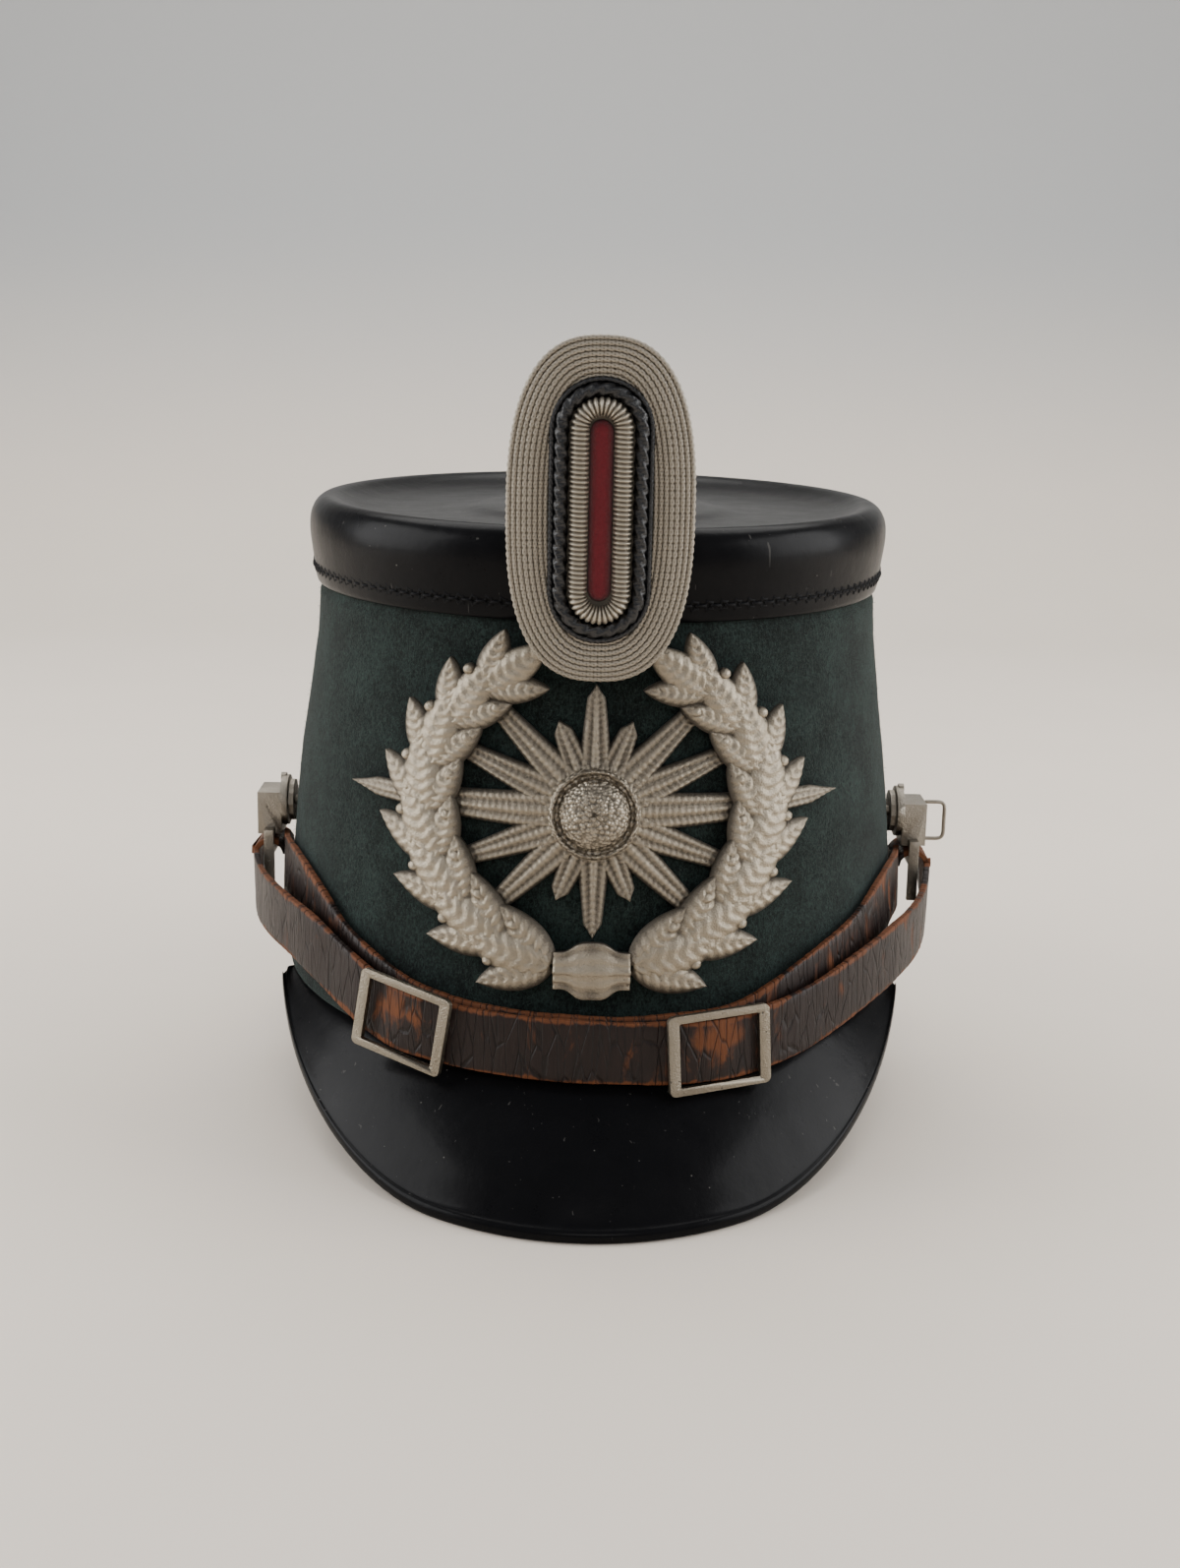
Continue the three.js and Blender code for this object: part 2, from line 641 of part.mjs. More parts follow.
function strapHook() {
  const discAt = vec(hookX(), SIDE_Y, SIDE_Z);
  const disc = turned(cylinderProfile(HOOK.disc, 0, HOOK.discThick + 0.5), discAt, vec(1, 0, 0), 20);
  const nubAt = vec(blockX(), SIDE_Y, SIDE_Z + HOOK.disc - HOOK.nub / 2);
  const nub = turned(cylinderProfile(HOOK.nub, -HOOK.nub / 2, HOOK.nub / 2), nubAt, vec(1, 0, 0), 8);
  const half = HOOK.blockLong / 2;
  const block = box(
    vec(blockX(), SIDE_Y - half, HOOK.blockBottom),
    vec(blockX() + HOOK.blockThick, SIDE_Y + half, HOOK.blockTop),
  );
  const nearEdge = SIDE_Y - STRAP.wide / 2 - 2 * GAP;
  const tongueX = foldX() - TONGUE.wide / 2;
  const tongue = box(
    vec(tongueX, nearEdge - TONGUE.thick, TONGUE.bottom),
    vec(tongueX + TONGUE.wide, nearEdge, HOOK.blockBottom + TONGUE.shelf),
  );
  const shelf = box(
    vec(tongueX, nearEdge - TONGUE.thick, HOOK.blockBottom),
    vec(tongueX + TONGUE.wide, SIDE_Y, HOOK.blockBottom + TONGUE.shelf),
  );
  const bar = turned(
    cylinderProfile(TONGUE.barRadius, -STRAP.wide - TONGUE.thick, TONGUE.thick / 2),
    vec(foldX(), nearEdge, STRAP.foldZ + TONGUE.barRise),
    vec(0, -1, 0),
    10,
  );
  return join([disc, nub, block, tongue, shelf, bar]);
}

function wireEye() {
  const inner = blockX() + HOOK.blockThick + GAP;
  const outer = inner + EYE.reach - EYE.wire / 2;
  const low = (HOOK.blockTop + HOOK.blockBottom - EYE.high + EYE.wire) / 2;
  const high = low + EYE.high - EYE.wire;
  const { bend } = EYE;
  const path = new THREE.CurvePath();
  path.add(new THREE.LineCurve3(vec(inner, SIDE_Y, low), vec(outer - bend, SIDE_Y, low)));
  path.add(
    new THREE.QuadraticBezierCurve3(
      vec(outer - bend, SIDE_Y, low),
      vec(outer, SIDE_Y, low),
      vec(outer, SIDE_Y, low + bend),
    ),
  );
  path.add(new THREE.LineCurve3(vec(outer, SIDE_Y, low + bend), vec(outer, SIDE_Y, high - bend)));
  path.add(
    new THREE.QuadraticBezierCurve3(
      vec(outer, SIDE_Y, high - bend),
      vec(outer, SIDE_Y, high),
      vec(outer - bend, SIDE_Y, high),
    ),
  );
  path.add(new THREE.LineCurve3(vec(outer - bend, SIDE_Y, high), vec(inner, SIDE_Y, high)));
  const round = new THREE.Shape();
  round.absarc(0, 0, EYE.wire / 2, 0, Math.PI * 2);
  return new THREE.ExtrudeGeometry(round, { extrudePath: path, steps: 20, curveSegments: 4 });
}

// ---------------------------------------------------------------- chin strap
// A row of the strap's table as a point of its middle line and its face's direction.
// The inner layer faces the shell, because the strap turns over at each fold.
function strapRow({ bearing, z, off, lean }, layer) {
  const centre = atBearing(bearing, z, off);
  const face = outward(centre.x, centre.y, z).multiplyScalar(Math.cos(radians(lean)));
  face.z = Math.sin(radians(lean));
  return { centre, face: face.multiplyScalar(layer) };
}

function strapFold(side) {
  const rows = [];
  const out = vec(side, 0, 0);
  const radius = (STRAP.outerFold - STRAP.innerFold) / 2;
  for (const angle of [0, 30, 60, 90, 120, 150, 180]) {
    const face = out.clone().multiplyScalar(Math.cos(radians(angle)));
    face.z = Math.sin(radians(angle));
    const middle = vec(side * foldX(), SIDE_Y, STRAP.foldZ);
    rows.push({ centre: middle.addScaledVector(face, radius), face });
  }
  return side > 0 ? rows : rows.reverse();
}

// Stations along the whole loop: middle, direction along, direction of the outer face, width.
function strapStations() {
  const rows = [
    ...STRAP_OUTER.map((row) => strapRow(row, 1)),
    ...strapFold(1),
    ...STRAP_INNER.map((row) => strapRow(row, -1)),
    ...strapFold(-1),
  ];
  const smooth = (points) => new THREE.CatmullRomCurve3(points, true, "catmullrom", 0.5);
  const line = smooth(rows.map((row) => row.centre));
  const faces = smooth(rows.map((row) => row.centre.clone().add(row.face)));
  const count = rows.length * STRAP.steps;
  return Array.from({ length: count }, (_, i) => {
    const t = i / count;
    const centre = line.getPoint(t);
    const along = line.getTangent(t);
    const face = faces.getPoint(t).sub(centre).projectOnPlane(along).normalize();
    const across = along.clone().cross(face);
    const outer = i < STRAP_OUTER.length * STRAP.steps;
    if (outer) centre.addScaledVector(face, strapBulge(centre));
    return { centre, along, face, across, outer };
  });
}

function strapBulge({ x, y }) {
  const bearing = THREE.MathUtils.radToDeg(Math.atan2(x, -y));
  const nearest = Math.min(...Object.values(BUCKLE_BEARINGS).map((at) => Math.abs(bearing - at)));
  const share = Math.min(1, nearest / BULGE.halfBearing);
  return BULGE.high * Math.cos((share * Math.PI) / 2) ** 2;
}

function chinStrap() {
  const halfWide = STRAP.wide / 2;
  const halfThick = STRAP.thick / 2;
  const sections = strapStations().map(({ centre, face, across }) => {
    const corner = (w, t) => {
      const edge = centre.clone().addScaledVector(across, w * halfWide);
      return edge.addScaledVector(face, t * halfThick);
    };
    return [corner(-1, -1), corner(1, -1), corner(1, 1), corner(-1, 1)];
  });
  return loft(sections, true);
}

// The frame in which a buckle lies: on the outer layer at its bearing, without the bulge.
function buckleFrame(bearing) {
  const bearingOf = ({ centre }) => THREE.MathUtils.radToDeg(Math.atan2(centre.x, -centre.y));
  const outer = strapStations().filter((station) => station.outer);
  const next = outer.findIndex((station) => bearingOf(station) >= bearing);
  const [a, b] = [outer[next - 1], outer[next]];
  const share = (bearing - bearingOf(a)) / (bearingOf(b) - bearingOf(a));
  const mix = (key) => a[key].clone().lerp(b[key], share);
  const centre = mix("centre");
  const face = mix("face").normalize();
  centre.addScaledVector(face, -strapBulge(centre));
  const along = mix("along").projectOnPlane(face).normalize();
  const across = face.clone().cross(along);
  return { centre, basis: new THREE.Matrix4().makeBasis(along, across, face) };
}

function roundedRectangle(target, halfLong, halfHigh, corner) {
  target.moveTo(-halfLong + corner, -halfHigh);
  target.lineTo(halfLong - corner, -halfHigh);
  target.absarc(halfLong - corner, -halfHigh + corner, corner, -Math.PI / 2, 0);
  target.lineTo(halfLong, halfHigh - corner);
  target.absarc(halfLong - corner, halfHigh - corner, corner, 0, Math.PI / 2);
  target.lineTo(-halfLong + corner, halfHigh);
  target.absarc(-halfLong + corner, halfHigh - corner, corner, Math.PI / 2, Math.PI);
  target.lineTo(-halfLong, -halfHigh + corner);
  target.absarc(-halfLong + corner, -halfHigh + corner, corner, Math.PI, Math.PI * 1.5);
  return target;
}

function buckle(bearing) {
  const { centre, basis } = buckleFrame(bearing);
  const frame = roundedRectangle(new THREE.Shape(), BUCKLE.long / 2, BUCKLE.high / 2, BUCKLE.corner);
  const windowLong = BUCKLE.long / 2 - BUCKLE.bar;
  const windowHigh = BUCKLE.high / 2 - BUCKLE.rail;
  frame.holes.push(roundedRectangle(new THREE.Path(), windowLong, windowHigh, BUCKLE.window));
  const flat = new THREE.ExtrudeGeometry(frame, {
    depth: BUCKLE.thick,
    bevelEnabled: false,
    curveSegments: 3,
  });
  flat.translate(0, 0, STRAP.thick / 2 + GAP);
  return flat.applyMatrix4(basis).translate(centre.x, centre.y, centre.z);
}

function stud(bearing) {
  const { centre, basis } = buckleFrame(bearing);
  const { radius, thick, rise } = STUD;
  const profile = [
    [0, 0],
    [radius, 0],
    [radius, thick * 0.4],
    [radius * 0.6, thick],
    [0, thick],
  ];
  const disc = turned(profile, vec(0, rise, -STRAP.thick / 2 + GAP * 0.8), vec(0, 0, 1), 16);
  return disc.applyMatrix4(basis).translate(centre.x, centre.y, centre.z);
}

// ---------------------------------------------------------------- the hat
const hat = new THREE.Group();
function add(name, geometry, material) {
  const mesh = new THREE.Mesh(geometry, material);
  mesh.name = name;
  hat.add(mesh);
  return mesh;
}

add("crown", crown(), FIBRE);
add("body", body(), FELT);
add("visor_front", peak(PEAKS.front), FIBRE);
add("visor_rear", peak(PEAKS.rear), FIBRE);
add("plate_star", star(), STAMPED);
add("plate_wreath", wreath(), STAMPED);
add("plate_boss", boss(), STAMPED);
for (const each of posts()) add(each.name, post(each), STEEL);
add("cockade_base", cockadePad(COCKADE_BASE), BRAID);
add("cockade_black_ring", cockadeRing(COCKADE_RINGS.cockade_black_ring), BLACK_CORD);
add("cockade_silver_ring", cockadeRing(COCKADE_RINGS.cockade_silver_ring), BRAID);
add("cockade_centre", cockadePad(COCKADE_CENTRE), RED_CLOTH);
add("strap_hook_right", strapHook(), STEEL);
add("strap_hook_left", strapHook(), STEEL).scale.x = -1;
add("wire_loop_right", wireEye(), STEEL);
add("chin_strap", chinStrap(), LEATHER);
for (const [side, bearing] of Object.entries(BUCKLE_BEARINGS)) {
  add("buckle_" + side, buckle(bearing), STEEL);
  add("stud_" + side, stud(bearing), STEEL);
}

// The part's origin is the middle of its footprint, on the surface it stands on.
const bounds = new THREE.Box3().setFromObject(hat);
const middle = bounds.getCenter(new THREE.Vector3());
hat.position.set(-middle.x, -middle.y, -bounds.min.z);

export default hat;
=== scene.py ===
"""A shako: felt shell, lacquered crown and peaks, stamped plate, cockade and chin strap."""

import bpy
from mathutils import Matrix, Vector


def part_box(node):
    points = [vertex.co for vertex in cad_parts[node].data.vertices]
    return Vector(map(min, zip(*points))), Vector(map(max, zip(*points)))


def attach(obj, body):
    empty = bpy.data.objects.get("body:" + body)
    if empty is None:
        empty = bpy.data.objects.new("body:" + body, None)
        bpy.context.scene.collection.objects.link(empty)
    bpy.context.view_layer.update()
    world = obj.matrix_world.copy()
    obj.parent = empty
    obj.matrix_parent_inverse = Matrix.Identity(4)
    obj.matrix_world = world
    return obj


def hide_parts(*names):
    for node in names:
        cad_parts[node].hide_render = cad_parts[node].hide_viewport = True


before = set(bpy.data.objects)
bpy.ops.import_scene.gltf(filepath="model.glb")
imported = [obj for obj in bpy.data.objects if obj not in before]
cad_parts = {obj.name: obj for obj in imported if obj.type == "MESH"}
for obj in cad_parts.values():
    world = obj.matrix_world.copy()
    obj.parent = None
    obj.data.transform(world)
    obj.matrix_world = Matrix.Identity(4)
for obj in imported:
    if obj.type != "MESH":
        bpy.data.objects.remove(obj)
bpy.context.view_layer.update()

import math
import random

import bmesh
import bpy
from mathutils import Matrix, Vector, noise

bl_info = {
    "name": "Shako",
    "version": (1, 0, 0),
    "blender": (4, 5, 0),
    "location": "View3D > Sidebar > Shako",
    "description": "Dresses a shako with felt, lacquer, stamped metal, cord and leather",
    "category": "Object",
}

MM = 0.001
TURN = 2 * math.pi
UP = Vector((0, 0, 1))
FRONT = Vector((0, -1, 0))
AROUND = 224  # points round the crown and the shell
SAME_PLACE = 0.005 * MM  # corners closer than this are one corner


# ------------------------------------------------------------------ what the frame gives
BOXES = {node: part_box(node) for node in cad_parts}


def middle(node):
    """The middle of a CAD node's box."""
    low, high = BOXES[node]
    return (low + high) / 2


def half_size(node):
    """Half of a CAD node's box along each axis."""
    low, high = BOXES[node]
    return (high - low) / 2


AXIS = middle("crown")
FULL_ROW = 90  # a whole row of the shell's corners; the post holes add shorter ones
CLOSE = 0.02 * MM  # a corner nearer a plane than this lies on it


def shell_rows():
    """Height, half width and half depth of the shell's outside, from its lowest row up."""
    rows = {}
    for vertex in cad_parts["body"].data.vertices:
        x, y, z = (round(value, 5) for value in vertex.co)
        rows.setdefault(z, set()).add((x, y))
    table = []
    for z, points in sorted(rows.items()):
        if len(points) >= FULL_ROW:
            across = [x for x, _ in points]
            deep = [y for _, y in points]
            table.append((z, (max(across) - min(across)) / 2, (max(deep) - min(deep)) / 2))
    return table


SHELL = shell_rows()


def shell_oval(z):
    """Half width and half depth of the shell at a height."""
    z = min(max(z, SHELL[0][0]), SHELL[-1][0])
    for (z0, w0, d0), (z1, w1, d1) in zip(SHELL, SHELL[1:]):
        if z <= z1:
            share = (z - z0) / (z1 - z0)
            return w0 + (w1 - w0) * share, d0 + (d1 - d0) * share
    return SHELL[-1][1:]


def on_shell(bearing, z, off=0.0):
    """A point at a bearing from the front (right is positive), so far off the shell."""
    wide, deep = shell_oval(z)
    radius = 1 / math.hypot(math.sin(bearing) / wide, math.cos(bearing) / deep)
    x, y = radius * math.sin(bearing), -radius * math.cos(bearing)
    out = Vector((x / wide**2, y / deep**2, 0)).normalized()
    return Vector((AXIS.x + x, AXIS.y + y, z)) + out * off


def on_front(x, z, off=0.0):
    """A point of the front given where it is seen from straight ahead."""
    wide, deep = shell_oval(z)
    y = -deep * math.sqrt(max(0.0, 1 - (x / wide) ** 2))
    out = Vector((x / wide**2, y / deep**2, 0)).normalized()
    return Vector((AXIS.x + x, AXIS.y + y, z)) + out * off


def bearing_of(point):
    """The bearing of a point from the front, right positive."""
    return math.atan2(point.x - AXIS.x, AXIS.y - point.y)


def off_shell(point):
    """How far a point stands off the shell, measured towards its axis."""
    wide, deep = shell_oval(point.z)
    bearing = bearing_of(point)
    radius = 1 / math.hypot(math.sin(bearing) / wide, math.cos(bearing) / deep)
    return math.hypot(point.x - AXIS.x, point.y - AXIS.y) - radius


def cut_outline(node):
    """Radius and height along a turned CAD node's outline, from the top's middle inwards."""
    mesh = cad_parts[node].data
    keys = {}
    for vertex in mesh.vertices:
        if abs(vertex.co.y - AXIS.y) < CLOSE and vertex.co.x > AXIS.x - CLOSE:
            keys[vertex.index] = (round(vertex.co.x - AXIS.x, 5), round(vertex.co.z, 5))
    links = {}
    for edge in mesh.edges:
        a, b = (keys.get(i) for i in edge.vertices)
        if a and b and a != b:
            links.setdefault(a, set()).add(b)
            links.setdefault(b, set()).add(a)
    here = max((key for key in links if key[0] < CLOSE), key=lambda key: key[1])
    route = [here]
    while True:
        onward = [key for key in links[here] if key not in route]
        if not onward:
            return route
        here = min(onward, key=lambda key: math.dist(key, here))
        route.append(here)


def outer_side(route):
    """The part of a crown's outline that is its side, from its widest place down."""
    widest = max(range(len(route)), key=lambda i: route[i][0])
    lowest = min(range(len(route)), key=lambda i: (route[i][1], -route[i][0]))
    return route[widest : lowest + 1]


CROWN_OUTLINE = cut_outline("crown")
CROWN_SIDE = outer_side(CROWN_OUTLINE)


def crown_side(z):
    """Radius across of the crown's outside at a height on its side."""
    for (r0, z0), (r1, z1) in zip(CROWN_SIDE, CROWN_SIDE[1:]):
        if z1 <= z <= z0:
            return r0 + (r1 - r0) * (z - z0) / (z1 - z0)
    return CROWN_SIDE[-1][0]


# ------------------------------------------------------------------ meshes
def piece(name, points, faces, finish, replaces=(), values=None):
    """A mesh that rides on the hat. values holds named numbers, one for each point."""
    mesh = bpy.data.meshes.new(name)
    mesh.from_pydata([tuple(p) for p in points], [], faces)
    for title, numbers in (values or {}).items():
        mesh.attributes.new(title, "FLOAT", "POINT").data.foreach_set("value", numbers)
    finished(mesh, finish)
    placed(bpy.data.objects.new(name, mesh), replaces)


def finished(mesh, finish):
    """Shades a mesh smooth and gives it a material."""
    mesh.polygons.foreach_set("use_smooth", [True] * len(mesh.polygons))
    mesh.materials.append(bpy.data.materials[finish])


def placed(thing, replaces=()):
    """Links a piece, makes it ride on the hat and hides the CAD nodes it stands for."""
    bpy.context.scene.collection.objects.link(thing)
    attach(thing, "root")
    if replaces:
        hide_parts(*replaces)


def ring_faces(count, around, closed=True):
    """Faces of a skin over sections with so many points around, and whether its ends meet."""
    faces = []
    for i in range(count if closed else count - 1):
        here, after = i * around, ((i + 1) % count) * around
        for j in range(around):
            k = (j + 1) % around
            faces.append((here + j, here + k, after + k, after + j))
    return faces


def capped_faces(count, around):
    """Faces of an open skin over sections, with its two ends closed."""
    last = (count - 1) * around
    ends = [tuple(reversed(range(around))), tuple(range(last, last + around))]
    return ring_faces(count, around, closed=False) + ends


def outward_faces(points, faces):
    """The same faces, turned round if they enclose their volume inside out."""
    volume = 0.0
    for face in faces:
        a = Vector(points[face[0]])
        for b, c in zip(face[1:], face[2:]):
            volume += a.dot(Vector(points[b]).cross(Vector(points[c])))
    return faces if volume >= 0 else [tuple(reversed(face)) for face in faces]


def slab(shape, along, across, back):
    """A stamped relief: a grid of shape(u, v) = x, z, height over a flat back on the front."""
    points, faces, relief = [], [], []
    grid = []
    for i in range(along + 1):
        grid.append([shape(i / along, 2 * j / across - 1) for j in range(across + 1)])
    for layer in (0, 1):
        for row in grid:
            for x, z, height in row:
                points.append(on_front(x, z, back + height * (1 - layer)))
                relief.append(height / MM if layer == 0 else 0.0)
    width = across + 1
    half = (along + 1) * width
    for i in range(along):
        for j in range(across):
            a, b = i * width + j, (i + 1) * width + j
            faces.append((a, a + 1, b + 1, b))
            faces.append((half + a, half + b, half + b + 1, half + a + 1))
    rim = list(range(width))
    rim += [i * width + across for i in range(1, along + 1)]
    rim += [along * width + j for j in range(across - 1, -1, -1)]
    rim += [i * width for i in range(along - 1, 0, -1)]
    for a, b in zip(rim, rim[1:] + rim[:1]):
        faces.append((b, a, half + a, half + b))
    return points, outward_faces(points, faces), relief


def gather(parts):
    """Joins lists of (points, faces, numbers) into one of each."""
    points, faces, numbers = [], [], []
    for some, theirs, values in parts:
        start = len(points)
        points += some
        numbers += values
        faces += [tuple(start + i for i in face) for face in theirs]
    return points, faces, numbers


def smoothed(outline, rounds, near=0.22):
    """An open outline with its corners cut so near them, its two ends kept."""
    far = 1 - near
    for _ in range(rounds):
        cut = [outline[0]]
        for (a, b), (c, d) in zip(outline, outline[1:]):
            cut.append((a * far + c * near, b * far + d * near))
            cut.append((a * near + c * far, b * near + d * far))
        outline = cut + [outline[-1]]
    return outline


def turned(outline, around, deeper, ripple):
    """Points and faces of an outline of radius, height turned about the hat's axis."""
    sections = []
    for i in range(around):
        angle = TURN * i / around
        for radius, z in outline:
            reach = radius + (ripple(angle, radius, z) if radius > 1 * MM else 0)
            across, deep = reach * math.cos(angle), reach * math.sin(angle) * deeper
            sections.append(Vector((AXIS.x + across, AXIS.y + deep, z)))
    faces = []
    width = len(outline)
    for i in range(around):
        here, after = i * width, ((i + 1) % around) * width
        for j in range(width - 1):
            faces.append((here + j, after + j, after + j + 1, here + j + 1))
    return sections, outward_faces(sections, faces)


FLAT, SQUARE = 0.6, 1.2  # how far two triangles may be from flat and square to be paired
SHARPNESS = 0.85  # how much of a creased edge a subdivision keeps


def welded(name, node):
    """An object with the CAD node's own surface, its corners merged, its triangles paired."""
    shape = bmesh.new()
    shape.from_mesh(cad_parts[node].data)
    bmesh.ops.remove_doubles(shape, verts=shape.verts, dist=SAME_PLACE)
    bmesh.ops.join_triangles(
        shape, faces=shape.faces, angle_face_threshold=FLAT, angle_shape_threshold=SQUARE
    )
    mesh = bpy.data.meshes.new(name)
    shape.to_mesh(mesh)
    shape.free()
    return bpy.data.objects.new(name, mesh)


def refined(name, node, finish, levels, crease=None):
    """The CAD node's surface, subdivided smooth. Edges over the crease angle stay sharp."""
    thing = welded(name, node)
    mesh = thing.data
    finished(mesh, finish)
    if crease is not None:
        shape = bmesh.new()
        shape.from_mesh(mesh)
        layer = shape.edges.layers.float.new("crease_edge")
        for edge in shape.edges:
            sharp = len(edge.link_faces) == 2 and edge.calc_face_angle() > crease
            edge[layer] = SHARPNESS if sharp else 0.0
        shape.to_mesh(mesh)
        shape.free()
    placed(thing, [node])
    baked(thing, "SUBSURF", levels=levels, render_levels=levels)
    return thing


def bevelled(name, node, finish, width):
    """The CAD node's surface with its edges rounded."""
    thing = welded(name, node)
    finished(thing.data, finish)
    placed(thing, [node])
    limits = {"limit_method": "ANGLE", "angle_limit": math.radians(35), "harden_normals": True}
    baked(thing, "BEVEL", width=width, segments=3, use_clamp_overlap=True, **limits)


def baked(thing, kind, **settings):
    """Applies one modifier to a piece's mesh."""
    modifier = thing.modifiers.new(kind.lower(), kind)
    for key, value in settings.items():
        setattr(modifier, key, value)
    graph = bpy.context.evaluated_depsgraph_get()
    old = thing.data
    new = bpy.data.meshes.new_from_object(thing.evaluated_get(graph))
    thing.modifiers.clear()
    thing.data = new
    new.name = old.name
    bpy.data.meshes.remove(old)


def superellipse(angle, wide, high, square):
    """A point of a squarish oval."""
    power = 2 / square
    cosine, sine = math.cos(angle), math.sin(angle)
    return (
        math.copysign(wide * abs(cosine) ** power, cosine),
        math.copysign(high * abs(sine) ** power, sine),
    )


FINE = 1440  # steps that an oval's length is measured in


def even_oval(wide, high, square, count):
    """Points spaced evenly round a squarish oval."""
    rough = [superellipse(TURN * i / FINE, wide, high, square) for i in range(FINE + 1)]
    lengths = [0.0]
    for (a, b), (c, d) in zip(rough, rough[1:]):
        lengths.append(lengths[-1] + math.hypot(c - a, d - b))
    points, at = [], 0
    for i in range(count):
        goal = lengths[-1] * i / count
        while lengths[at + 1] < goal:
            at += 1
        share = (goal - lengths[at]) / max(1e-9, lengths[at + 1] - lengths[at])
        (a, b), (c, d) = rough[at], rough[at + 1]
        points.append((a + (c - a) * share, b + (d - b) * share))
    return points


def even_stadium(wide, high, count):
    """Evenly spaced points on an oval with straight sides and round ends."""
    straight, bend = high - wide, math.pi * wide
    points = []
    for i in range(count):
        way = (4 * straight + 2 * bend) * i / count
        side = 1 if way < 2 * straight + bend else -1
        way -= 0 if side > 0 else 2 * straight + bend
        angle = max(0, way - 2 * straight) / wide
        z = min(way, 2 * straight) - straight + wide * math.sin(angle)
        points.append((side * wide * math.cos(angle), side * z))
    return points


def cord(route, radius, strands, pitch, depth, around=8):
    """A closed twisted cord in an upright plane. pitch is its length for one whole turn."""
    count = len(route)
    step = (route[1] - route[0]).length
    turns = round(step * count / pitch)
    points, hollow = [], []
    for i, here in enumerate(route):
        ahead = (route[(i + 1) % count] - route[i - 1]).normalized()
        side = ahead.cross(FRONT).normalized()
        for j in range(around):
            angle = TURN * j / around
            wave = math.cos(strands * angle - TURN * turns * i / count)
            reach = radius * (1 - depth + depth * abs(wave) ** 0.7)
            points.append(here + (side * math.cos(angle) + FRONT * math.sin(angle)) * reach)
            # painted shade: how deep the point lies between the strands, darkened by the cord
            # finishes
            hollow.append(1 - abs(wave))
    return points, outward_faces(points, ring_faces(count, around)), hollow


# ------------------------------------------------------------------ shader maths
class Value:
    """A shader socket that sums can be written with."""

    def __init__(self, paint, socket):
        self.paint = paint
        self.socket = socket

    def maths(self, operation, first, second):
        return self.paint.node("ShaderNodeMath", {"operation": operation}, {0: first, 1: second})

    def __add__(self, other):
        return self.maths("ADD", self, other)

    def __radd__(self, other):
        return self.maths("ADD", other, self)

    def __sub__(self, other):
        return self.maths("SUBTRACT", self, other)

    def __rsub__(self, other):
        return self.maths("SUBTRACT", other, self)

    def __mul__(self, other):
        return self.maths("MULTIPLY", self, other)

    def __rmul__(self, other):
        return self.maths("MULTIPLY", other, self)


class Paint:
    """One material, built node by node."""

    def __init__(self, name):
        self.material = bpy.data.materials.new(name)
        self.material.use_nodes = True
        self.nodes = self.material.node_tree.nodes
        self.links = self.material.node_tree.links
        self.surface = self.nodes["Principled BSDF"]

    def node(self, kind, settings=None, inputs=None, output=0):
        """Adds a node, its settings first and then its sockets' values or links."""
        made = self.nodes.new(kind)
        for key, value in (settings or {}).items():
            setattr(made, key, value)
        for key, value in (inputs or {}).items():
            self.feed(made.inputs[key], value)
        return Value(self, made.outputs[output])

    def feed(self, socket, value):
        """Links a value to a socket, or sets the socket to a number, vector or colour."""
        if isinstance(value, Value):
            self.links.new(value.socket, socket)
        elif socket.type == "RGBA":
            socket.default_value = (*value, 1)
        else:
            socket.default_value = value

    def set(self, **sockets):
        """Sets the surface's sockets, named with underscores for spaces."""
        for key, value in sockets.items():
            self.feed(self.surface.inputs[key.replace("_", " ")], value)

    def place(self, stretch=(1, 1, 1)):
        """Where a point is on the hat, in millimetres, stretched by so much."""
        where = self.node("ShaderNodeTexCoord", output="Object")
        scale = tuple(s / MM for s in stretch)
        return self.node("ShaderNodeMapping", None, {"Vector": where, "Scale": scale})

    def number(self, title):
        """A named number of the mesh."""
        return self.node("ShaderNodeAttribute", {"attribute_name": title}, output="Fac")

    def noise(self, size, detail=3, rough=0.5, where=None, distortion=0.0):
        """Cloudy noise of a feature size in millimetres, from 0 to 1."""
        inputs = {
            "Vector": where or self.place(),
            "Scale": 1 / size,
            "Detail": detail,
            "Roughness": rough,
            "Distortion": distortion,
        }
        return self.node("ShaderNodeTexNoise", None, inputs)

    def cells(self, size, feature="F1", where=None):
        """Distance in a cell pattern of a size in millimetres."""
        inputs = {"Vector": where or self.place(), "Scale": 1 / size}
        return self.node("ShaderNodeTexVoronoi", {"feature": feature}, inputs)

    def between(self, value, low, high):
        """0 below low, 1 above high and a soft step between; low may be the larger."""
        inputs = {"Value": value, "From Min": low, "From Max": high}
        settings = {"interpolation_type": "SMOOTHSTEP"}
        return self.node("ShaderNodeMapRange", settings, inputs)

    def mix(self, share, first, second):
        """A colour mixed from two."""
        inputs = {"Factor": share, 6: first, 7: second}
        return self.node("ShaderNodeMix", {"data_type": "RGBA"}, inputs, output=2)

    def bump(self, height, depth, strength=1.0, under=None):
        """A normal from a height of 0 to 1 that stands for a depth in millimetres."""
        inputs = {"Height": height, "Distance": depth * MM, "Strength": strength}
        if under:
            inputs["Normal"] = under
        return self.node("ShaderNodeBump", None, inputs)


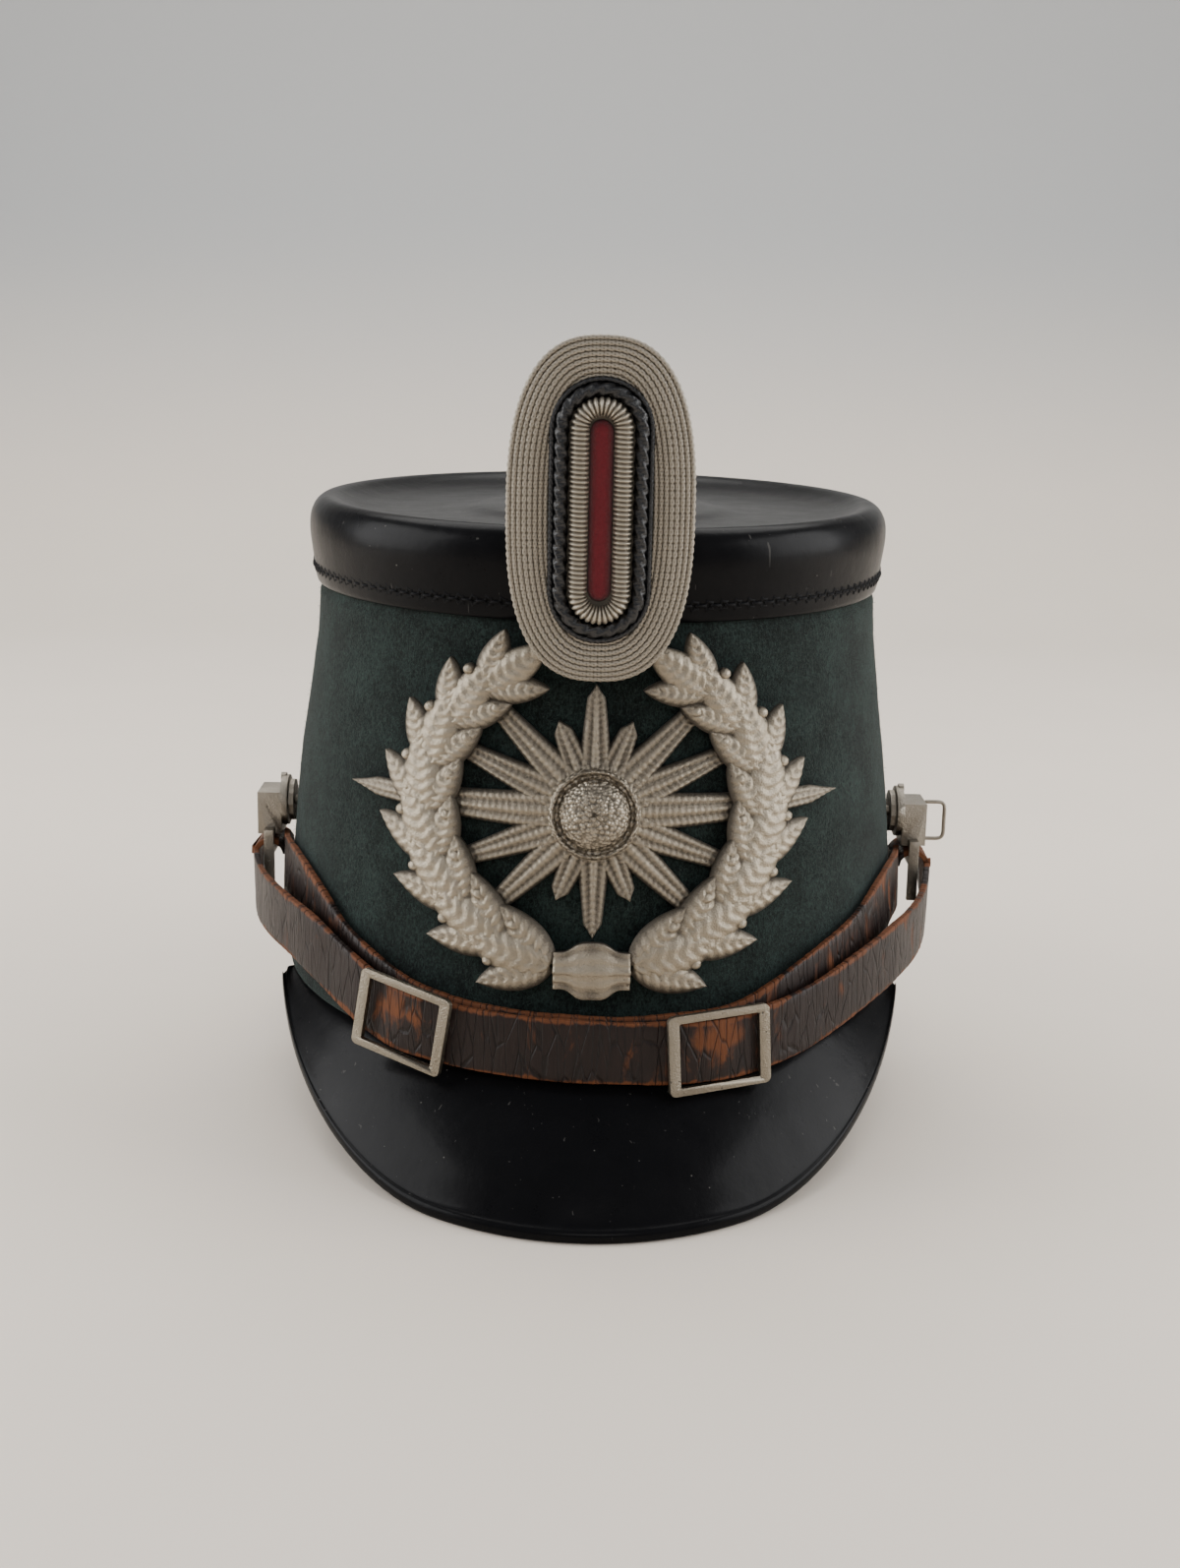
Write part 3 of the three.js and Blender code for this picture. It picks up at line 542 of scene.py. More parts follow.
def fibre_paint(colours):
    """Black lacquer with a few pale chips and scratches."""
    paint = Paint("Lacquered fibre")
    cloud = paint.noise(9, 4, 0.6)
    grain = paint.noise(0.55, 3, 0.6)
    specks = paint.between(paint.cells(3.1), 0.075, 0.05)
    chosen = paint.between(paint.noise(7, 2), 0.55, 0.63)
    scratch = paint.between(
        paint.noise(1.4, 2, 0.5, paint.place((1, 1, 0.09)), 0.6), 0.735, 0.75
    )
    marks = specks * chosen * 0.75 + scratch * 0.3
    black = paint.mix(cloud, tuple(c * 0.6 for c in colours.lacquer), tuple(colours.lacquer))
    paint.set(
        Base_Color=paint.mix(marks * 0.6, black, (0.26, 0.25, 0.23)),
        Roughness=cloud * 0.12 + 0.2 + grain * 0.08 + marks * 0.3,
        Specular_IOR_Level=0.06,
        Coat_Weight=0.03,
        Coat_Roughness=0.16,
        Normal=paint.bump(grain, 0.05, 0.5, paint.bump(cloud, 0.5, 0.35)),
    )


def felt_paint(colours):
    """Mottled felt, darker and lighter by its tufts, with some pale lint."""
    paint = Paint("Wool felt")
    cloud = paint.noise(14, 4, 0.6)
    fluff = paint.noise(1.0, 5, 0.75, None, 1.2)
    hairs = paint.noise(0.45, 3, 0.6, paint.place((1, 1, 0.35)), 0.8)
    share = cloud * 0.25 + fluff * 0.5 + hairs * 0.35
    dark, light = tuple(c * 0.3 for c in colours.felt), tuple(c * 2.6 for c in colours.felt)
    tone = paint.mix(paint.between(share, 0.46, 0.68), dark, light)
    lint = paint.between(paint.noise(0.8, 2, 0.5, paint.place((1, 1, 0.2)), 2.0), 0.72, 0.76)
    paint.set(
        Base_Color=paint.mix(lint * 0.3, tone, (0.13, 0.15, 0.14)),
        Roughness=0.95,
        Specular_IOR_Level=0.2,
        Sheen_Weight=0.12,
        Sheen_Roughness=0.45,
        Sheen_Tint=(0.55, 0.62, 0.6),
        Normal=paint.bump(hairs, 0.22, 0.6, paint.bump(fluff, 0.5, 0.7)),
    )


UNSHADED_RELIEF = 3.0  # a relief that stands clear of any painted recess shade


def metal_paint(name, tone, low, high, pits, relief=None):
    """Dull plated metal. low and high are its roughness; its recesses are painted dark by relief,
    as painted shade.
    """
    paint = Paint(name)
    cloud = paint.noise(6, 4, 0.6)
    grain = paint.noise(0.5, 3, 0.6)
    pit = paint.between(paint.cells(2.3), 0.17, 0.08) * paint.between(paint.noise(4, 2), 0.5, 0.6)
    stand = paint.number("relief") if relief is None else relief
    # painted shade: the plate's low relief, its ground and the sides of its reliefs, is darkened
    # as shade
    recess_shade = paint.between(grain * 0.9 + stand, 2.9, 1.15) * 0.92
    warm = paint.mix(cloud, tone, tuple(c * s for c, s in zip(tone, (0.72, 0.7, 0.66))))
    # painted shade in the recesses together with the real pits
    shade_and_pits = recess_shade + pit * pits
    paint.set(
        Base_Color=paint.mix(paint.between(shade_and_pits, 0, 1), warm, (0.09, 0.077, 0.06)),
        Metallic=1 - shade_and_pits * 0.35,
        Roughness=cloud * (high - low) + low + shade_and_pits * 0.2,
        Normal=paint.bump(grain, 0.3, 0.9, paint.bump(1 - pit, 0.2, 0.6 * pits)),
    )


def granular_paint(name, tone):
    """Stamped metal with a matted, pebbled ground, painted darker between the pebbles as shade.
    """
    paint = Paint(name)
    pebble = paint.cells(0.95)
    cloud = paint.noise(5, 3)
    # painted shade: the hollows between the pebbles are darkened
    recess_shade = paint.between(pebble, 0.35, 0.75) * 0.75
    paint.set(
        Base_Color=paint.mix(recess_shade, tone, (0.1, 0.085, 0.065)),
        Metallic=0.95,
        Roughness=cloud * 0.16 + 0.32,
        Normal=paint.bump(1 - pebble, 0.5, 0.9),
    )


def cord_paint(name, light, dark, metallic, roughness, shine=0.5):
    """Twisted cord: its hollows are painted dark as shade and fine threads run over it."""
    paint = Paint(name)
    thread = paint.noise(0.3, 2, 0.5, None, 0.5)
    cloud = paint.noise(7, 3)
    # painted shade: the dark colour is mixed in by how deep a point lies in a groove
    hollow = paint.between(paint.number("hollow"), 0.35, 1.0)
    tone = paint.mix(thread * 0.4 + cloud * 0.3, light, tuple(c * 0.7 for c in light))
    paint.set(
        Base_Color=paint.mix(hollow, tone, dark),
        Metallic=metallic,
        Roughness=thread * 0.2 + roughness,
        Specular_IOR_Level=shine,
        Normal=paint.bump(thread, 0.14, 0.8),
    )


def wool_paint(colours):
    """Brushed red wool cloth."""
    paint = Paint("Red wool")
    fluff = paint.noise(0.7, 4, 0.7, None, 1.0)
    red = tuple(colours.wool)
    paint.set(
        Base_Color=paint.mix(fluff, tuple(c * 0.45 for c in red), tuple(c * 1.5 for c in red)),
        Roughness=0.95,
        Sheen_Weight=0.25,
        Normal=paint.bump(fluff, 0.4, 0.8),
    )


def leather_paint(colours):
    """Old leather: cracked across, worn to orange brown at its edges and in patches."""
    paint = Paint("Cracked leather")
    along, across, wear = paint.number("along"), paint.number("across"), paint.number("wear")
    sheet = paint.node("ShaderNodeCombineXYZ", None, {0: along, 1: across, 2: 0.0})

    def stretched(x, y):
        inputs = {"Vector": sheet, "Scale": (x, y, 1)}
        return paint.node("ShaderNodeMapping", None, inputs)

    creases = paint.noise(1.0, 4, 0.6, stretched(1.0, 0.9), 0.8)
    cracks = paint.cells(2.6, "DISTANCE_TO_EDGE", stretched(1.0, 1.6))
    wavy = paint.noise(2.2, 3, 0.55, stretched(1, 1.4), 0.7)
    crack = paint.between(cracks + wavy * 0.12, 0.13, 0.05)
    grain = paint.noise(0.4, 2)
    folds = paint.bump(creases, 0.35, 0.7, paint.bump(grain, 0.08, 0.5))
    patches = paint.noise(6, 4, 0.65, stretched(1, 3), 0.7)
    edge = paint.between(across * across, 0.62, 0.98)
    worn = paint.between(patches + edge * 0.3 + wear * 0.36 + creases * 0.14, 0.66, 0.86)
    dark = tuple(colours.leather)
    brown = paint.mix(wavy, tuple(c * 0.6 for c in dark), tuple(c * 1.7 for c in dark))
    tan = paint.mix(creases, (0.24, 0.078, 0.024), (0.11, 0.036, 0.014))
    coloured = paint.mix(worn * 0.75, brown, tan)
    paint.set(
        Base_Color=paint.mix(crack * 0.75, coloured, (0.008, 0.005, 0.004)),
        Roughness=0.36 + worn * 0.25 + creases * 0.2,
        Specular_IOR_Level=0.25,
        Coat_Weight=0.03,
        Normal=paint.bump(1 - crack, 0.35, 0.8, folds),
    )


def loose_fibre_paint():
    """The dull wool of the felt's loose fibres."""
    paint = Paint("Loose fibre")
    cloud = paint.noise(1.0)
    tone = (0.036, 0.05, 0.045)
    paint.set(
        Base_Color=paint.mix(cloud, tone, tuple(c * 0.97 for c in tone)),
        Roughness=0.9,
        Normal=paint.bump(cloud, 0.05, 0.2),
    )


def floor_paint():
    """A warm pale floor that turns a cool grey as it curves up behind."""
    paint = Paint("Pale floor")
    place = paint.node("ShaderNodeSeparateXYZ", None, {0: paint.place()}, 2)
    cloud = paint.noise(70, 3)
    warm = paint.mix(cloud, (0.84, 0.75, 0.645), (0.8, 0.715, 0.615))
    paint.set(
        Base_Color=paint.mix(paint.between(place, 5, 300), warm, (0.45, 0.455, 0.45)),
        Roughness=0.6,
    )


# ------------------------------------------------------------------ settings
def colour(name, description, default):
    return bpy.props.FloatVectorProperty(
        name=name, description=description, default=default, subtype="COLOR", min=0, max=1
    )


def length(name, description, default):
    return bpy.props.FloatProperty(
        name=name, description=description, default=default, unit="LENGTH", min=0
    )


class ShakoColours(bpy.types.PropertyGroup):
    """Base colours of the hat's materials."""

    lacquer: colour("Lacquer", "Crown and peaks", (0.0055, 0.0055, 0.0062))
    felt: colour("Felt", "Shell", (0.0088, 0.0148, 0.013))
    metal: colour("Plate metal", "Wreath, star and boss", (0.4, 0.35, 0.274))
    braid: colour("Braid", "Cockade's pale cords", (0.41, 0.362, 0.288))
    wool: colour("Wool", "Cockade's middle", (0.17, 0.012, 0.02))
    leather: colour("Leather", "Chin strap", (0.0125, 0.0066, 0.0052))


class ShakoCrown(bpy.types.PropertyGroup):
    """The row of stitches round the crown."""

    stitch_pitch: length("Stitch pitch", "From one hole to the next", 4 * MM)
    stitch_height: length("Stitch height", "Above the crown's lower edge", 4.4 * MM)
    hole: length("Hole", "Radius of a punched hole", 1.15 * MM)


class ShakoFelt(bpy.types.PropertyGroup):
    """The shell's felt."""

    wall: length("Wall", "Thickness of the felt and its shell", 2.5 * MM)
    hair: length("Hair", "Longest loose fibre", 1.9 * MM)
    hairs: bpy.props.IntProperty(name="Hairs", description="Loose fibres", default=15000, min=0)


class ShakoPlate(bpy.types.PropertyGroup):
    """The stamped plate."""

    lift: length("Lift", "Back of the star off the felt", 1 * MM)
    star_wide: length("Star width", "Half width of the star", 62 * MM)
    star_high: length("Star height", "Half height of the star", 31 * MM)
    rays: bpy.props.IntProperty(name="Rays", description="Rays of the star", default=16, min=4)
    ray_root: length("Ray root", "Half width of a ray near the middle", 5.4 * MM)
    wreath_wide: length("Wreath width", "Half width of the wreath's line", 41 * MM)
    wreath_high: length("Wreath height", "Half height of the wreath's line", 38.5 * MM)
    wreath_lift: length("Wreath lift", "Back of the wreath off the felt", 3.4 * MM)
    groups: bpy.props.IntProperty(
        name="Leaf groups", description="Groups of three leaves on each branch", default=8, min=2
    )
    leaf_long: length("Leaf length", "Of a full leaf", 20 * MM)
    leaf_wide: length("Leaf width", "Of a full leaf", 9.5 * MM)
    boss_lift: length("Boss lift", "Back of the boss off the felt", 4.6 * MM)


class ShakoCockade(bpy.types.PropertyGroup):
    """The cockade's cords."""

    cords: bpy.props.IntProperty(name="Cords", description="Pale cords", default=8, min=1)
    cord: length("Cord", "Radius of a pale cord", 0.76 * MM)
    thread: length("Thread", "Pitch of the wound silver thread", 1.15 * MM)
    square: bpy.props.FloatProperty(
        name="Squareness", description="2 is an ellipse", default=2.6, min=2, max=6
    )


class ShakoStage(bpy.types.PropertyGroup):
    """Where the camera stands and points."""

    lens: bpy.props.FloatProperty(
        name="Lens", description="Focal length", default=46.3, unit="CAMERA", min=1
    )
    away: length("Away", "Camera in front of the hat's middle", 576.2 * MM)
    aside: length("Aside", "Camera to the left of the origin", 6.1 * MM)
    height: length("Height", "Camera above the floor", 221.5 * MM)
    pitch: bpy.props.FloatProperty(
        name="Pitch", description="Camera tilted down", default=0.238, subtype="ANGLE"
    )
    roll: bpy.props.FloatProperty(
        name="Roll", description="Camera rolled", default=0.02, subtype="ANGLE"
    )
    yaw: bpy.props.FloatProperty(
        name="Yaw", description="Camera turned to the left", default=0.005, subtype="ANGLE"
    )


# ------------------------------------------------------------------ crown and shell
HOLE_RINGS = ((0.15, 0.05), (0.62, 0.07), (1.0, 0.24), (1.35, -0.25))  # share of radius, mm out
HOLE_SHADED = 0.9  # rings inside this share of the radius are painted dark as shade in the hole


def on_crown(bearing, z, off):
    """A point at a bearing and height on the crown's side, so far off it."""
    wide = crown_side(z) + off
    size = half_size("crown")
    deep = wide * size.y / size.x
    radius = 1 / math.hypot(math.sin(bearing) / wide, math.cos(bearing) / deep)
    return Vector((AXIS.x + radius * math.sin(bearing), AXIS.y - radius * math.cos(bearing), z))


class MakeCrown(bpy.types.Operator):
    """The lacquered crown with its row of stitches"""

    bl_idname = "shako.crown"
    bl_label = "Crown"

    def execute(self, context):
        size = half_size("crown")
        outline = smoothed(CROWN_OUTLINE, 2)

        def ripple(angle, radius, z):
            """A slight unevenness that grows towards the rim."""
            place = Vector((math.cos(angle) * 2.2, math.sin(angle) * 2.2, z / (14 * MM)))
            share = min(1.0, radius / size.x)
            return noise.noise(place) * 0.28 * MM * share**4

        points, faces = turned(outline, AROUND, size.y / size.x, ripple)
        piece("crown_lacquered", points, faces, "Lacquered fibre", ["crown"])
        self.stitches(context.scene.shako_crown)
        return {"FINISHED"}

    def stitches(self, sizes):
        """A row of punched holes round the crown, with a thread from each to the next."""
        z = BOXES["crown"][0].z + sizes.stitch_height
        size = half_size("crown")
        count = round(math.pi * (size.x + size.y) / sizes.stitch_pitch)
        holes, threads = [], []
        for i in range(count):
            bearing = TURN * i / count
            holes.append(self.hole(bearing, z, sizes.hole, i))
            threads.append(self.thread(bearing, z, TURN / count, sizes.hole))
        points, faces, depth = gather(holes)
        piece("crown_holes", points, faces, "Punched hole", (), {"hollow": depth})
        points, faces, depth = gather(threads)
        piece("crown_thread", points, faces, "Punched hole", (), {"hollow": depth})

    def hole(self, bearing, z, radius, seed):
        """A star-shaped prick with a raised rim, lying on the crown's side, its middle painted
        dark as shade in the hole.
        """
        draw = random.Random(seed)
        points, depth, around = [], [], 10
        reach = half_size("crown").x
        for ring, off in HOLE_RINGS:
            for j in range(around):
                angle = TURN * j / around
                size = radius * ring * (1 + (0.28 if j % 2 else -0.22) + draw.uniform(-0.1, 0.1))
                turn = bearing + size * math.cos(angle) / reach
                points.append(on_crown(turn, z + size * math.sin(angle), off * MM))
                # painted shade: the shallow middle of the hole takes the dark colour instead of a
                # real recess
                depth.append(1.0 if ring < HOLE_SHADED else 0.0)
        faces = ring_faces(len(HOLE_RINGS), around, closed=False)
        faces.append(tuple(range(around)))
        return points, [tuple(reversed(face)) for face in faces], depth

    def thread(self, bearing, z, step, radius):
        """A short thread that dips into the holes at its two ends."""
        points, stations, around = [], 7, 6
        for i in range(stations):
            share = i / (stations - 1)
            off = (0.34 * math.sin(math.pi * share) - 0.12) * MM
            centre = on_crown(bearing + step * (0.12 + 0.76 * share), z, off)
            out = Vector((centre.x - AXIS.x, centre.y - AXIS.y, 0)).normalized()
            thick = radius * 0.36 * (0.75 + 0.25 * math.sin(math.pi * share))
            for j in range(around):
                angle = TURN * j / around
                points.append(centre + (out * math.cos(angle) + UP * math.sin(angle)) * thick)
        last = (stations - 1) * around
        faces = ring_faces(stations, around, closed=False)
        faces += [tuple(range(around)), tuple(range(last, last + around))]
        return points, outward_faces(points, faces), [0.3] * len(points)


class MakeFelt(bpy.types.Operator):
    """The felt-covered shell and its loose fibres"""

    bl_idname = "shako.felt"
    bl_label = "Felt shell"

    def execute(self, context):
        sizes = context.scene.shako_felt
        low, high = SHELL[0][0], SHELL[-1][0]
        rows, edge = 60, sizes.wall / 2
        straight = high - low - 2 * edge
        heights = [low + edge + straight * i / rows for i in range(rows + 1)]
        outline = [(z, 0.0) for z in heights]
        outline += self.rim(high - edge, edge, 1)
        outline += [(z, -sizes.wall) for z in reversed(heights)]
        outline += self.rim(low + edge, edge, -1)
        points = []
        for i in range(AROUND):
            bearing = TURN * i / AROUND
            for z, off in outline:
                soft = self.dents(bearing, z) if off == 0 else 0
                points.append(on_shell(bearing, z, off + soft))
        faces = outward_faces(points, ring_faces(AROUND, len(outline)))
        piece("felt_shell", points, faces, "Wool felt", ["body"])
        self.hairs(sizes, low)
        return {"FINISHED"}

    def rim(self, z, edge, sign):
        """The rounded upper (sign 1) or lower (sign -1) edge between the shell's two sides."""
        points = []
        for turn in (math.radians(a) for a in (30, 60, 90, 120, 150)):
            points.append((z + sign * edge * math.sin(turn), sign * edge * math.cos(turn) - edge))
        return points

    def dents(self, bearing, z):
        """How far the felt swells or sinks: broad dents with a fine unevenness over them."""
        place = Vector((math.cos(bearing) * 1.9, math.sin(bearing) * 1.9, z / (38 * MM)))
        fine = Vector((math.cos(bearing) * 30, math.sin(bearing) * 30, z / (3.2 * MM)))
        return (noise.noise(place) * 0.55 + noise.noise(fine) * 0.09) * MM

    def hairs(self, sizes, low):
        """Loose fibres, each a bent sliver that leaves the felt at its own lean."""
        draw = random.Random(7)
        points, faces = [], []
        for _ in range(sizes.hairs):
            bearing = draw.uniform(-math.pi, math.pi)
            z = draw.uniform(low + 1 * MM, BOXES["crown"][0].z - 0.5 * MM)
            reach = sizes.hair * draw.uniform(0.35, 1.0)
            lean = draw.uniform(-math.pi, math.pi)
            stand = draw.uniform(0.1, 0.75)
            root = on_shell(bearing, z, self.dents(bearing, z) - 0.05 * MM)
            out = Vector((root.x - AXIS.x, root.y - AXIS.y, 0)).normalized()
            side = out.cross(UP)
            flat = side * math.cos(lean) + UP * math.sin(lean)
            curl = side * draw.uniform(-0.5, 0.5) + UP * draw.uniform(-0.5, 0.3)
            width = flat.cross(out).normalized() * 0.035 * MM
            mid = root + (flat * 0.5 + out * stand * 0.6) * reach
            tip = root + (flat * 0.85 + out * stand * 0.8 + curl * 0.5) * reach
            start = len(points)
            points += [root - width, root + width, mid + width * 0.8, mid - width * 0.8, tip]
            faces += [(start, start + 1, start + 2, start + 3), (start + 3, start + 2, start + 4)]
        piece("felt_hairs", points, faces, "Loose fibre")


class MakePeaks(bpy.types.Operator):
    """The two lacquered peaks with their turned edges"""

    bl_idname = "shako.peaks"
    bl_label = "Peaks"

    def execute(self, context):
        for side in ("front", "rear"):
            node = "visor_" + side
            refined(node + "_lacquered", node, "Lacquered fibre", 3)
        return {"FINISHED"}


# ------------------------------------------------------------------ plate
SHORT_RAY = 0.72  # every other ray, as a share of a full one
BRANCH = math.radians(-76), math.radians(49)  # where a branch starts and ends on its oval
SPRAY = ((34, 0.86, 0), (-34, 0.86, 0), (0, 1.05, 0.55))  # each leaf's splay, size, extra mm
BERRY_ASIDE = 5.6 * MM
BERRY = 1.5 * MM


class MakePlate(bpy.types.Operator):
    """The stamped star, wreath and boss"""

    bl_idname = "shako.plate"
    bl_label = "Plate"

    def execute(self, context):
        sizes = context.scene.shako_plate
        self.centre = middle("plate_boss").z
        self.star(sizes)
        self.wreath(sizes)
        self.boss(sizes)
        return {"FINISHED"}

    def star(self, sizes):
        """The rays, long and short by turns, that reach out to an oval."""
        parts = []
        for i in range(sizes.rays):
            turn = TURN * i / sizes.rays
            full = 1 / math.hypot(
                math.cos(turn) / sizes.star_wide, math.sin(turn) / sizes.star_high
            )
            parts.append(self.ray(sizes, turn, full * (SHORT_RAY if i % 2 else 1)))
        self.stamped("star_rays", parts, "plate_star")

    def stamped(self, name, parts, node):
        """One piece of plate metal from several reliefs."""
        points, faces, relief = gather(parts)
        values = {"relief": relief}
        piece(name, points, faces, "Plate metal", [node], values)

    def ray(self, sizes, turn, long):
        """One ray, fluted along its length and narrowing to a point."""
        ahead = (math.cos(turn), math.sin(turn))

        def shape(u, v):
            half = sizes.ray_root * (0.35 + 0.65 * (1 - u)) * min(1, (1 - u) * 9 + 0.04)
            half *= 0.72 + 0.28 * min(1, u * 6)
            x = ahead[0] * long * u - ahead[1] * half * v
            z = ahead[1] * long * u + ahead[0] * half * v
            flute = 0.42 * math.cos(v * math.pi * 3) * min(1, (1 - u) * 3)
            flute += 0.12 * math.cos((u * long / (1.6 * MM) - abs(v) * 0.8) * TURN)
            height = 1.15 + (0.95 - abs(v) * 0.55) * (1 - u * 0.55) + flute - 0.25 * abs(v) ** 6
            return x, self.centre + z, max(0.45, height) * MM

        return slab(shape, round(long / (0.4 * MM)), 12, sizes.lift)

    def wreath(self, sizes):
        """Two branches of leaves in threes, with berries between them and a tie at the foot."""
        parts, berries = [], []
        start, end = BRANCH
        for side in (-1, 1):
            for i in range(sizes.groups):
                share = i / (sizes.groups - 1)
                turn = start + (end - start) * share
                x = sizes.wreath_wide * math.cos(turn)
                z = sizes.wreath_high * math.sin(turn)
                ahead = turn + math.radians(4)
                heading = math.atan2(
                    sizes.wreath_high * math.sin(ahead) - z,
                    sizes.wreath_wide * math.cos(ahead) - x,
                )
                scale = 1.08 - 0.16 * share
                for splay, size, extra in SPRAY:
                    way = heading + math.radians(splay)
                    way = way if side > 0 else math.pi - way
                    parts.append(self.leaf(sizes, side * x, z, way, scale * size, extra))
                if i:
                    for splay in (90, -90):
                        way = heading + math.radians(splay)
                        across = x + BERRY_ASIDE * math.cos(way)
                        berries.append((side * across, z + BERRY_ASIDE * math.sin(way)))
        parts += [self.berry(sizes, x, z) for x, z in berries]
        parts.append(self.tie(sizes))
        self.stamped("wreath_leaves", parts, "plate_wreath")

    def leaf(self, sizes, x, z, way, scale, extra):
        """One laurel leaf with a midrib and side veins."""
        long, wide = sizes.leaf_long * scale, sizes.leaf_wide * scale / 2
        ahead, aside = math.cos(way), math.sin(way)

        def shape(u, v):
            half = wide * (math.sin(math.pi * min(1, u * 0.93 + 0.07) ** 0.85) ** 0.75 + 0.015)
            px = x + ahead * long * u - aside * half * v
            pz = z + aside * long * u + ahead * half * v
            fall = (1 - abs(v) ** 2.2) * math.sin(math.pi * (0.12 + 0.8 * u)) ** 0.6
            rib = -0.75 * math.exp(-((v / 0.17) ** 2)) + 0.5 * math.exp(-((v / 0.07) ** 2))
            vein = 0.34 * math.cos((u * 7.5 - abs(v) * 1.1) * TURN) * (1 - abs(v)) ** 0.5
            height = 0.55 + extra + 1.9 * fall + (rib + vein) * min(1, (1 - u) * 4)
            return px, self.centre + pz, max(0.35, height) * MM

        return slab(shape, 34, 14, sizes.wreath_lift)

    def berry(self, sizes, x, z):
        """A small domed berry."""

        def shape(u, v):
            turn, share = TURN * u, (v + 1) / 2
            height = math.sqrt(max(0.0, 1 - share**2)) * BERRY * 1.1
            px, pz = x + BERRY * share * math.cos(turn), z + BERRY * share * math.sin(turn)
            return px, self.centre + pz, height + 0.9 * MM

        return slab(shape, 14, 5, sizes.wreath_lift)

    def tie(self, sizes):
        """The ribbon tied round the two stems."""

        def shape(u, v):
            x = (u * 2 - 1) * 9 * MM
            flare = 4.5 + 2.5 * math.exp(-((abs(x) / (5 * MM)) ** 4))
            fold = 0.25 * math.cos(v * math.pi * 4) + 0.2 * math.cos(u * TURN * 3)
            height = 1.4 + 1.3 * (1 - abs(v)) + fold
            return x, self.centre - sizes.wreath_high + flare * v * MM, height * MM

        return slab(shape, 26, 16, sizes.wreath_lift)

    def boss(self, sizes):
        """The pebbled dome in its beaded rim, square to the shell."""
        radius = half_size("plate_boss").x
        foot = on_front(0, self.centre, sizes.boss_lift)
        above = on_front(0, self.centre + radius, sizes.boss_lift)
        below = on_front(0, self.centre - radius, sizes.boss_lift)
        side = Vector((1, 0, 0))
        rise = (above - below).normalized()
        out = rise.cross(side) * (-1 if rise.cross(side).y > 0 else 1)
        steps, around, points = 40, 96, []
        for i in range(steps + 1):
            share = 1 - i / steps
            reach = radius * max(share, 0.004)
            for j in range(around):
                angle = TURN * j / around
                flat = side * math.cos(angle) + rise * math.sin(angle)
                points.append(foot + flat * reach + out * self.boss_height(share, angle))
        last = steps * around
        faces = ring_faces(steps + 1, around, closed=False)
        faces += [tuple(range(around)), tuple(reversed(range(last, last + around)))]
        faces = outward_faces(points, faces)
        piece("boss_dome", points, faces, "Pebbled metal", ["plate_boss"])

    def boss_height(self, share, angle):
        """Height of the boss at a share of its radius: beaded rim, groove, pebbled dome."""

        def ridge(place, width):
            return math.exp(-(((share - place) / width) ** 2))

        bead = 0.45 * abs(math.cos(angle * 16)) * ridge(0.92, 0.06)
        rim = 1.5 * ridge(0.92, 0.07)
        groove = -0.5 * ridge(0.8, 0.04)
        dome = 4.0 * max(0.0, 1 - (share / 0.84) ** 2) ** 0.6
        place = Vector((share * 9, math.cos(angle) * 9, math.sin(angle) * 9))
        pebble = 0.22 * noise.noise(place) if share < 0.76 else 0
        edge = min(1, (1 - share) * 40 + 0.3)
        return (0.4 + rim + bead + groove + dome + pebble) * edge * MM


# ------------------------------------------------------------------ cockade
BACKING = (
    (1.0, 0.2),
    (1.012, 1.2),
    (0.97, 2.6),
    (0.8, 3.6),
    (0.62, 2.9),
    (0.3, 2.7),
    (0.02, 2.7),
)  # share of the half width, mm forward
BLACK_CORDS = ((0.15, 0.8, 3.9, 3.0), (0.62, 1.9, 4.3, 7.0))  # share in, radius, forward, pitch


